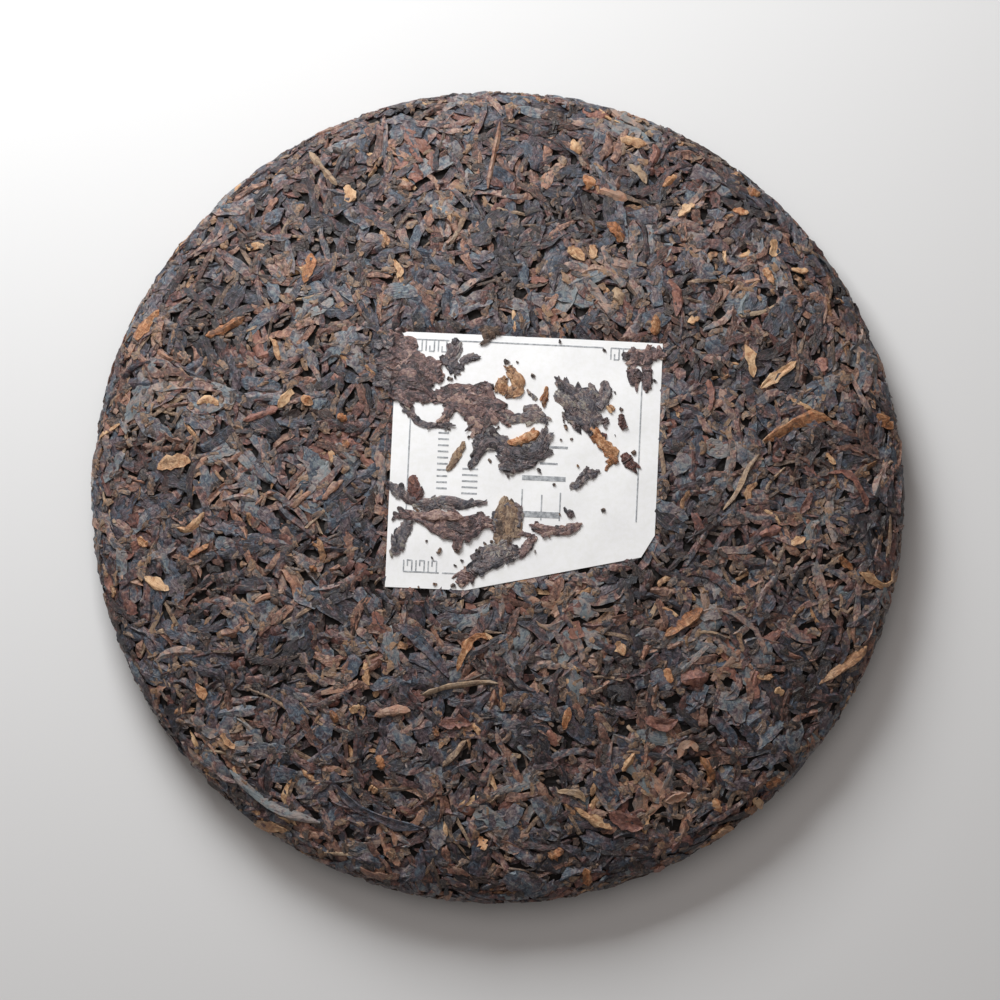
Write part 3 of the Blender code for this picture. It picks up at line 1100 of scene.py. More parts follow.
@dataclass
class Ticket:
    """The square of thin paper, turned a little clockwise, its right lower corner folded under."""

    skin: Skin
    width: float = 65.0 * MM
    length: float = 62.5 * MM
    centre: tuple[float, float] = (6.4 * MM, 6.5 * MM)
    turn: float = math.radians(-2.6)
    sheet: float = 0.12 * MM
    lift: float = -0.28 * MM
    cell: float = 1.6 * MM
    fold: tuple[tuple[float, float], ...] = ((-13.0, -31.25), (29.4, -21.3), (32.5, -15.8))
    swell: Waves = Waves(13.0, 0.07, 31)
    crinkle: Waves = Waves(4.5, 0.015, 32)
    under: float = 0.3 * MM
    free_edge: float = 0.35 * MM
    slope_beside: float = 1.6

    def to_cake(self, x_mm: float, y_mm: float) -> tuple[float, float]:
        """Turns a place on the ticket into a place on the cake.

        Args:
            x_mm: Millimetres to the right of the ticket's middle.
            y_mm: Millimetres up from the ticket's middle.

        Returns:
            The place on the cake, metres.
        """
        c, s = math.cos(self.turn), math.sin(self.turn)
        x, y = x_mm * MM, y_mm * MM
        return (self.centre[0] + x * c - y * s, self.centre[1] + x * s + y * c)

    def outline(self) -> list[tuple[float, float]]:
        """The ticket's corners on the cake.

        Returns:
            The corners in anticlockwise order, metres.
        """
        w, h = self.width / 2 / MM, self.length / 2 / MM
        corners = [(w, h), (-w, h), (-w, -h), *self.fold]
        return [self.to_cake(*corner) for corner in corners]

    def distance(self, flat: np.ndarray) -> np.ndarray:
        """Distance outwards from the ticket's edge.

        Args:
            flat: Places on the cake seen from above, metres.

        Returns:
            The distance of each place, metres, less than nothing inside the edge.
        """
        corners = np.array(self.outline())
        far = np.full(flat.shape[:-1], -1.0)
        for a, b in zip(corners, np.roll(corners, -1, axis=0)):
            way = (b - a) / np.linalg.norm(b - a)
            far = np.maximum(far, (flat[..., 0] - a[0]) * way[1] - (flat[..., 1] - a[1]) * way[0])
        return far

    def hold_down(self, flat: np.ndarray, height: np.ndarray) -> np.ndarray:
        """Keeps the leaves that reach under the ticket below it.

        Args:
            flat: Places in the front's map.
            height: Heights over the skin.

        Returns:
            The heights, lowered under the paper and close to its edge.
        """
        far = self.distance(flat)
        most = self.lift - self.under + np.maximum(far - self.free_edge, 0.0) * self.slope_beside
        return np.minimum(height, most)

    def paper_height(self, x: np.ndarray, y: np.ndarray) -> np.ndarray:
        """Height of the paper's upper face over places on the cake.

        Args:
            x: Places across the cake, metres.
            y: Places up the cake, metres.

        Returns:
            The height at each place, metres.
        """
        places = np.stack([x, y], axis=-1)
        unevenness = self.swell.heights(places) + self.crinkle.heights(places)
        return self.skin.dome(np.hypot(x, y)) + self.lift + unevenness

    def build(self) -> None:
        """Cuts the sheet, lays it over the dome and gives it its thickness."""
        made = bmesh.new()
        made.faces.new([made.verts.new((x, y, 0.0)) for x, y in self.outline()])
        for axis in (0, 1):
            places = [corner[axis] for corner in self.outline()]
            low, high = min(places), max(places)
            cuts = int((high - low) / self.cell)
            direction = (float(axis == 0), float(axis == 1), 0.0)
            for cut in range(1, cuts):
                spot = Vector(direction) * (low + (high - low) * cut / cuts)
                everything = made.verts[:] + made.edges[:] + made.faces[:]
                bmesh.ops.bisect_plane(
                    made, geom=everything, plane_co=spot, plane_no=direction, dist=1e-7
                )
        for vertex in made.verts:
            vertex.co.z = float(self.paper_height(np.array(vertex.co.x), np.array(vertex.co.y)))
        bmesh.ops.recalc_face_normals(made, faces=made.faces[:])
        if sum(face.normal.z for face in made.faces) < 0:
            bmesh.ops.reverse_faces(made, faces=made.faces[:])
        bmesh.ops.solidify(made, geom=made.faces[:], thickness=self.sheet)
        mesh = bpy.data.meshes.new("ticket_paper")
        made.to_mesh(mesh)
        made.free()
        mesh.shade_smooth()
        mesh.set_sharp_from_angle(angle=PAPER_EDGE_ANGLE)
        piece = link_piece("ticket_paper", mesh, PaperFinish().material())
        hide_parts("ticket")


Bar = tuple[float, float, float, float]


@dataclass
class TicketPrint:
    """Plain printing on the ticket: a thin rule round it, key corners and grey bars.

    Places are in millimetres from the ticket's middle. A bar is its left, lower, right and upper edge.
    """

    ticket: Ticket
    left: float = -28.2
    right: float = 27.8
    top: float = 29.5
    foot: float = -27.3
    rule_mm: float = 0.34
    dash_mm: float = 0.42
    dash_rows: int = 10
    row_mm: float = 1.5
    key_height: float = 2.8
    key_pitch: float = 3.0
    cell_mm: float = 1.6
    over_paper_mm: float = 0.06
    in_paper_mm: float = 0.10
    bars: tuple[Bar, ...] = (
        (4.6, 4.2, 10.4, 4.8), (3.8, 0.2, 8.1, 0.7), (-0.4, -3.8, 10.2, -2.6), (-0.5, -12.8, 9.2, -11.3),
    )
    uprights: tuple[tuple[float, float], ...] = ((-0.2, 0.0), (4.6, 1.2), (9.1, 0.5))

    def strokes(self) -> list[Bar]:
        """Gives every printed bar.

        Returns:
            The bars of the rule, the keys, the dashes and the lines of print.
        """
        left, right, top, foot = self.left, self.right, self.top, self.foot
        t = self.rule_mm / 2
        marks = [
            (left + 9.4, top - t, right - 9.8, top + t),
            (left - t, foot + 7.6, left + t, top - 5.6),
            (right - t, foot + 14.5, right + t, top - 5.6),
            (left + 9.4, foot - t, left + 13.2, foot + t),
        ]
        for x, y, up in ((left, top, -1), (right - 7.9, top, -1), (left, foot, 1)):
            marks += self.key(x, y, up)
        # Columns of short dashes and a few broad bars stand for the lines of print
        for row in range(self.dash_rows):
            y = 6.6 - row * self.row_mm
            marks.append((-21.2, y, -18.6, y + self.dash_mm))
            if row >= self.dash_rows // 2:
                marks.append((-15.0, y - 1.0, -11.2, y - 1.0 + self.dash_mm))
        marks += self.bars
        marks += [(x - t, -13.4, x + t, -6.0 - drop) for x, drop in self.uprights]
        return marks

    def key(self, x: float, y: float, up: int) -> list[Bar]:
        """A plain key border of open squares, along a corner of the rule.

        Args:
            x: Left end.
            y: Height of the rule.
            up: One where the squares stand over the rule, less one where they hang from it.

        Returns:
            The bars.
        """
        t, far = self.rule_mm / 2, y + up * self.key_height
        marks = [(x, y - t, x + 8.6, y + t)]
        for step in range(3):
            a = x + step * self.key_pitch
            hook, b = a + 0.9, a + 2.0
            rows, middle = sorted((y, far)), sorted((y + up * 1.6, far))
            marks += [(a - t, rows[0], a + t, rows[1]), (b - t, rows[0], b + t, rows[1])]
            marks += [(hook, far - t, b, far + t), (hook - t, middle[0] - t, hook + t, middle[1] + t)]
        return marks

    def build(self) -> None:
        """Makes every bar a thin plate that follows the paper."""
        made = bmesh.new()
        for x0, y0, x1, y1 in self.strokes():
            for vertex in bmesh.ops.create_cube(made, size=1.0)["verts"]:
                x = x0 + (x1 - x0) * (vertex.co.x + 0.5)
                y = y0 + (y1 - y0) * (vertex.co.y + 0.5)
                vertex.co = (x, y, vertex.co.z)
        reach = int(max(-self.left, self.top) / self.cell_mm) + 2
        for direction in (Vector((1.0, 0.0, 0.0)), Vector((0.0, 1.0, 0.0))):
            for cut in range(-reach, reach + 1):
                everything = made.verts[:] + made.edges[:] + made.faces[:]
                spot = direction * cut * self.cell_mm
                bmesh.ops.bisect_plane(made, geom=everything, plane_co=spot, plane_no=direction)
        for vertex in made.verts:
            x, y = self.ticket.to_cake(vertex.co.x, vertex.co.y)
            surface = float(self.ticket.paper_height(np.array(x), np.array(y)))
            over = self.over_paper_mm if vertex.co.z > 0 else -self.in_paper_mm
            vertex.co = (x, y, surface + over * MM)
        mesh = bpy.data.meshes.new("ticket_print")
        made.to_mesh(mesh)
        made.free()
        link_piece("ticket_print", mesh, InkFinish().material())


@dataclass(frozen=True)
class Stroke:
    """One stretch of a larger leaf: a route over the cake with the leaf's half width along it."""

    route: Route
    thickness_mm: float = 0.8
    fold: float = 0.10
    ragged: float = 0.08

    def points(self, blank: Blank, seed: int,
               share: float = 1.0) -> tuple[np.ndarray, np.ndarray, np.ndarray]:
        """Shapes the stretch.

        Args:
            blank: A fine tube.
            seed: Of its raggedness.
            share: How much of the half width the whole leaf takes up, where flakes make up the rest.

        Returns:
            (points, 2) places on the cake, heights over what it lies on, and grain, in metres.
        """
        rng = np.random.default_rng(seed)
        route = np.array(self.route) * MM
        gaps = np.linalg.norm(np.diff(route[:, :2], axis=0), axis=1)
        way = np.concatenate([[0.0], np.cumsum(gaps)])
        want = (blank.share + 0.5) * way[-1]
        middle, ahead, behind = (
            np.stack([self.smooth(want + shift, way, route[:, i]) for i in range(2)], axis=1)
            for shift in (0.0, 0.2 * MM, -0.2 * MM)
        )
        along = ahead - behind
        along /= np.maximum(np.linalg.norm(along, axis=1), 1e-9)[:, None]
        sideways = np.stack([-along[:, 1], along[:, 0]], axis=1)
        half = np.interp(want, way, route[:, 2]) * share
        half = half * (1 + rng.normal(0, self.ragged, blank.rings)[blank.ring])
        # The last rings close to a narrow end
        half = half * (1 - 0.75 * np.clip((np.abs(blank.share) - 0.46) / 0.04, 0, 1) ** 2)
        jag = rng.normal(0.0, self.ragged, len(want)) * half * np.abs(blank.across) ** 2
        drift = np.convolve(rng.normal(0, 0.25, blank.rings + 4), np.ones(5) / 5, "valid")[blank.ring]
        across = half * blank.across + jag + drift * half.mean()
        # Full in the middle, and thinner where the leaf is narrow
        thick = 0.5 * self.thickness_mm * MM * np.sign(blank.up) * np.abs(blank.up) ** 0.7
        thick = thick * np.clip(half / max(half.max(), 1e-9), 0.35, 1.0)
        wobble = rng.uniform(0, 6.3)
        crease = self.fold * half * np.sin(2.6 * blank.across + wobble + 5.0 * share)
        bumps = rng.normal(0.0, 0.12, len(want)) * self.thickness_mm * MM
        rise = thick + crease + bumps
        return middle + sideways * across[:, None], rise, np.stack([want, across], axis=1) / MM

    @staticmethod
    def smooth(want: np.ndarray, way: np.ndarray, values: np.ndarray) -> np.ndarray:
        """Reads a route at points along its way, with its corners rounded.

        Args:
            want: Lengths along the way to read at.
            way: Lengths along the way of the route's own points.
            values: What the route holds at its own points.

        Returns:
            The rounded value at each length that is wanted.
        """
        spread = (-0.5, -0.25, 0.0, 0.25, 0.5)
        step = way[-1] / max(len(way) - 1, 1) * 0.45
        total = np.zeros_like(want)
        for shift in spread:
            total += np.interp(np.clip(want + shift * step, 0, way[-1]), way, values)
        return total / len(spread)


@dataclass(frozen=True)
class LargeLeaf:
    """A leaf as large as a berry, or larger, made of one or more stretches."""

    name: str
    finish: Leaves
    slot: Slot
    strokes: tuple[Stroke, ...]
    tone: float = 0.5
    node: str = ""


# Half widths and places in mm
TICKET_LEAVES: tuple[LargeLeaf, ...] = (
    LargeLeaf("forked_leaf", Leaves.SMOKY, Slot.DARK, (
        Stroke(((-9.8, 37.5, 1.1), (-10.5, 35.0, 1.3), (-11.9, 32.1, 1.9), (-10.5, 29.7, 1.7),
                (-9.3, 28.7, 0.9)), 0.8),
        Stroke(((-9.3, 31.1, 1.0), (-7.1, 32.8, 1.1), (-5.4, 33.1, 1.3)), 0.8)), 0.35, "leaf_fork"),
    LargeLeaf("corner_leaf_left", Leaves.DUSTY, Slot.BROWN, (
        Stroke(((-25.9, 37.0, 2.2), (-23.5, 35.6, 2.6), (-21.1, 33.1, 1.6)), 0.8),
        Stroke(((-26.9, 30.2, 3.0), (-22.1, 30.2, 4.2), (-18.2, 28.2, 4.6), (-15.3, 26.3, 3.4)), 1.0),
        Stroke(((-25.9, 24.4, 2.4), (-20.6, 23.4, 2.2), (-15.3, 22.9, 1.6), (-11.9, 22.9, 0.9)), 0.8),
        Stroke(((-19.6, 29.7, 2.6), (-15.3, 30.2, 2.2)), 0.8)), 0.30, "leaf_corner_left"),
    LargeLeaf("bent_strip_leaf", Leaves.SMOKY, Slot.DARK, (
        Stroke(((-24.0, 22.4, 0.8), (-21.3, 19.5, 1.1), (-19.4, 16.6, 1.0), (-16.7, 16.0, 0.8),
                (-11.4, 16.4, 0.6)), 0.6),), 0.45, "leaf_bent_strip"),
    LargeLeaf("broad_leaf", Leaves.DUSTY, Slot.BROWN, (
        Stroke(((-13.4, 24.3, 1.4), (-10.5, 23.4, 3.2), (-6.1, 22.4, 4.6), (-2.8, 21.4, 3.4),
                (0.6, 19.0, 1.8), (3.5, 17.1, 1.2)), 0.9),
        Stroke(((-7.1, 20.9, 3.6), (-4.2, 17.1, 2.6), (-5.2, 14.2, 1.4)), 0.9),
        Stroke(((-10.0, 21.9, 2.2), (-11.9, 19.5, 1.4), (-13.4, 17.1, 1.0)), 0.7),
        Stroke(((-4.2, 25.8, 1.8), (-2.3, 24.8, 1.4)), 0.7)), 0.42, "leaf_broad"),
    LargeLeaf("broad_leaf_tail", Leaves.SMOKY, Slot.DARK, (
        Stroke(((0.6, 19.0, 1.2), (2.5, 17.3, 1.3), (5.9, 17.6, 1.2), (9.7, 18.3, 1.8),
                (12.2, 17.8, 0.9)), 0.8),
        Stroke(((5.9, 20.2, 0.9), (8.8, 20.0, 1.3), (10.7, 19.3, 0.9)), 0.7)), 0.70, "leaf_broad_tail"),
    LargeLeaf("curled_leaf", Leaves.GOLD, Slot.TAN, (
        Stroke(((2.3, 30.6, 0.7), (3.5, 29.2, 1.3), (4.9, 27.2, 1.8), (4.7, 24.8, 1.9),
                (2.5, 23.8, 1.3)), 0.8),
        Stroke(((2.0, 27.2, 1.2), (0.6, 25.3, 1.6), (2.5, 24.8, 1.5)), 0.8)), 0.45, "leaf_curl"),
    LargeLeaf("cluster_leaf_right", Leaves.SMOKY, Slot.DARK, (
        Stroke(((14.3, 27.7, 0.7), (16.0, 25.3, 1.7), (17.9, 22.9, 2.9), (20.8, 20.0, 3.6),
                (22.3, 16.6, 2.6), (22.7, 14.7, 1.2)), 1.0),
        Stroke(((22.3, 25.6, 1.2), (22.3, 22.9, 2.2), (23.7, 21.0, 2.2)), 0.9),
        Stroke(((25.9, 27.3, 0.8), (26.4, 24.4, 1.4), (25.6, 21.5, 1.4), (24.2, 20.0, 1.6)), 0.9),
        Stroke(((17.0, 19.0, 1.8), (19.9, 16.6, 1.8)), 0.8),
        Stroke(((25.6, 17.8, 1.2), (26.6, 16.1, 0.9)), 0.7)), 0.45, "leaf_cluster_right"),
    LargeLeaf("golden_tail_leaf", Leaves.AMBER, Slot.GOLD, (
        Stroke(((22.0, 15.6, 1.0), (23.7, 14.2, 1.5), (24.7, 12.3, 1.3), (27.1, 10.3, 1.6),
                (29.0, 8.4, 1.5)), 0.8),
        Stroke(((28.5, 7.9, 1.3), (26.6, 6.5, 0.8)), 0.7)), 0.55, "leaf_tail_gold"),
    LargeLeaf("dark_tail_leaf", Leaves.RED, Slot.DARK, (
        Stroke(((24.7, 13.7, 0.8), (26.6, 13.2, 0.8)), 0.6),
        Stroke(((30.4, 9.4, 1.2), (31.9, 7.0, 1.6), (33.6, 5.5, 1.0)), 0.8)), 0.35, "leaf_tail_dark"),
    LargeLeaf("arched_leaf", Leaves.SMOKY, Slot.DARK, (
        Stroke(((-6.6, 5.5, 0.7), (-5.2, 8.4, 1.3), (-3.7, 11.3, 2.2), (-1.3, 12.2, 2.2), (2.0, 10.3, 1.8),
                (5.4, 8.9, 2.4), (8.8, 8.9, 2.6), (11.2, 11.3, 1.8), (11.4, 15.1, 1.0)), 1.0),
        Stroke(((1.1, 6.9, 1.9), (4.4, 6.0, 1.9), (7.8, 6.9, 1.7)), 0.8),
        Stroke(((-5.7, 10.8, 1.4), (-4.2, 13.2, 1.4), (-2.3, 13.2, 1.2)), 0.8)), 0.22, "leaf_arch"),
    LargeLeaf("amber_lens", Leaves.AMBER, Slot.GOLD, (
        Stroke(((2.0, 12.0, 0.6), (4.9, 11.8, 1.4), (7.8, 13.2, 1.5), (10.2, 14.7, 0.7)), 1.5),), 0.70),
    LargeLeaf("golden_bud_leaf", Leaves.STEM, Slot.TAN, (
        Stroke(((-8.5, 11.3, 0.4), (-9.7, 9.3, 1.1), (-10.9, 6.9, 1.1),
                (-12.6, 4.8, 0.6)), 0.7),), 0.75, "leaf_bud"),
    LargeLeaf("thin_leaf", Leaves.SMOKY, Slot.DARK, (
        Stroke(((-26.6, 2.1, 1.0), (-23.9, -0.3, 1.5), (-21.0, -2.5, 1.2), (-17.2, -2.9, 1.2),
                (-11.9, -2.5, 1.6), (-8.5, -3.4, 1.4), (-5.6, -3.0, 0.8), (-3.0, -2.5, 0.5)), 0.8),
        Stroke(((-18.1, -4.6, 0.8), (-14.8, -3.2, 1.4), (-10.9, -2.2, 1.2)), 0.8)), 0.40, "leaf_thin"),
    LargeLeaf("red_tuft", Leaves.RED, Slot.BROWN, (
        Stroke(((-20.8, 4.1, 0.9), (-20.3, 2.1, 1.6), (-20.1, -0.3, 1.9),
                (-20.6, -2.0, 1.3)), 0.8),), 0.50),
    LargeLeaf("boat_leaf", Leaves.DUSTY, Slot.BROWN, (
        Stroke(((-24.4, -5.1, 1.2), (-21.5, -5.8, 1.1), (-18.6, -6.5, 1.4), (-14.8, -8.2, 2.4),
                (-10.5, -9.9, 3.3), (-7.1, -9.0, 2.8), (-4.2, -7.0, 1.9), (-1.3, -8.7, 0.7)), 1.0),),
        0.35, "leaf_boat"),
    LargeLeaf("boat_leaf_back", Leaves.DUSTY, Slot.BROWN, (
        Stroke(((-19.1, -6.1, 0.9), (-14.8, -6.1, 1.6), (-10.5, -6.1, 1.3),
                (-8.1, -6.6, 0.7)), 1.6),), 0.75),
    LargeLeaf("slanted_leaf", Leaves.SMOKY, Slot.DARK, (
        Stroke(((-21.3, -7.0, 1.2), (-23.0, -9.9, 1.7), (-24.4, -12.8, 1.9),
                (-25.4, -15.7, 1.1)), 0.8),), 0.42, "leaf_diagonal"),
    LargeLeaf("square_leaf", Leaves.STEM, Slot.BROWN, (
        Stroke(((2.5, -3.2, 2.0), (2.3, -5.6, 3.0), (1.8, -8.5, 3.2),
                (0.6, -11.4, 1.3)), 0.9),), 0.45, "leaf_square"),
    LargeLeaf("square_leaf_edge", Leaves.SMOKY, Slot.DARK, (
        Stroke(((0.4, -3.4, 0.9), (4.9, -3.4, 0.9), (5.4, -6.6, 0.9), (4.7, -9.4, 0.7)), 0.9),
        Stroke(((-0.4, -4.6, 0.9), (-0.8, -8.0, 1.0), (-0.4, -10.4, 0.8)), 0.9)), 0.45),
    LargeLeaf("branching_leaf", Leaves.DUSTY, Slot.BROWN, (
        Stroke(((8.5, -8.0, 0.9), (10.2, -9.2, 1.4), (14.1, -9.7, 1.3), (17.4, -9.2, 1.4),
                (20.3, -8.0, 0.9)), 0.8),
        Stroke(((2.5, -10.4, 0.5), (5.9, -10.4, 0.6), (8.3, -10.9, 0.7)), 0.6),
        Stroke(((8.5, -10.9, 1.1), (7.3, -13.3, 1.4), (5.2, -15.9, 1.1)), 0.8)), 0.45, "leaf_branch"),
    LargeLeaf("foot_leaf", Leaves.SMOKY, Slot.DARK, (
        Stroke(((-7.1, -20.0, 1.4), (-4.2, -17.6, 2.4), (-0.4, -15.7, 3.0), (2.5, -14.3, 2.4),
                (4.4, -13.8, 1.0)), 0.9),
        Stroke(((4.0, -15.2, 1.2), (2.0, -17.1, 1.0)), 0.7)), 0.35, "leaf_foot"),
    LargeLeaf("foot_leaf_tip", Leaves.DUSTY, Slot.BROWN, (
        Stroke(((-8.0, -19.1, 1.3), (-8.5, -21.0, 1.7), (-9.5, -22.9, 1.1)), 0.9),
        Stroke(((-6.1, -20.0, 1.2), (-7.1, -21.9, 1.1)), 0.8)), 0.55),
    LargeLeaf("small_leaf", Leaves.SMOKY, Slot.DARK, (
        Stroke(((18.1, 0.7, 0.8), (19.8, 2.1, 1.1), (21.8, 4.3, 1.4),
                (24.4, 4.3, 1.0)), 0.8),), 0.40, "leaf_small"),
    LargeLeaf("corner_leaf_right", Leaves.DUSTY, Slot.DARK, (
        Stroke(((31.5, 32.7, 1.3), (33.9, 32.2, 2.2), (36.3, 32.7, 2.0), (38.3, 33.2, 1.2)), 0.9),
        Stroke(((32.9, 30.2, 1.8), (33.4, 27.3, 1.6), (33.4, 25.6, 0.9)), 0.8),
        Stroke(((36.3, 30.8, 1.4), (36.3, 27.4, 1.5), (36.0, 24.4, 1.0)), 0.8)), 0.30, "leaf_corner_right"),
    LargeLeaf("rim_leaf_right", Leaves.DUSTY, Slot.BROWN, (
        Stroke(((37.5, 33.4, 1.6), (39.0, 33.5, 1.8), (39.9, 33.0, 1.0)), 0.9),), 0.55),
    LargeLeaf("rim_leaf_top", Leaves.STEM, Slot.BROWN, (
        Stroke(((-4.0, 37.9, 1.2), (-2.3, 38.4, 2.1), (-0.4, 38.7, 1.2)), 0.9),), 0.30),
    LargeLeaf("rim_leaf_left", Leaves.SMOKY, Slot.DARK, (
        Stroke(((-28.4, 36.1, 2.0), (-25.5, 37.0, 1.6), (-24.0, 36.3, 1.0)), 0.9),), 0.20),
    LargeLeaf("rim_leaf_left_low", Leaves.SMOKY, Slot.DARK, (
        Stroke(((-28.3, 27.3, 2.6), (-24.9, 26.8, 2.8), (-22.0, 25.3, 1.8)), 0.9),), 0.30),
    LargeLeaf("amber_needle", Leaves.AMBER, Slot.GOLD, (
        Stroke(((11.9, 25.8, 0.4), (11.7, 23.9, 0.8), (11.1, 20.9, 0.4)), 0.6),), 0.30),
    LargeLeaf("small_amber_leaf", Leaves.GOLD, Slot.GOLD, (
        Stroke(((26.4, 20.7, 0.6), (27.6, 20.3, 1.0), (28.5, 19.8, 0.5)), 0.6),), 0.55),
    LargeLeaf("small_plum_leaf", Leaves.RED, Slot.DARK, (
        Stroke(((30.0, 19.1, 0.6), (30.0, 17.1, 1.0), (30.9, 15.0, 0.9)), 0.7),), 0.30),
    LargeLeaf("small_grey_strip", Leaves.SMOKY, Slot.DARK, (
        Stroke(((7.3, 24.3, 0.4), (8.3, 23.4, 0.6), (9.5, 22.2, 0.7)), 0.5),), 0.70),
    LargeLeaf("plum_crumb", Leaves.SMOKY, Slot.DARK, (
        Stroke(((16.9, -4.6, 0.7), (17.7, -5.6, 1.1), (18.6, -5.3, 0.6)), 0.7),), 0.30),
)

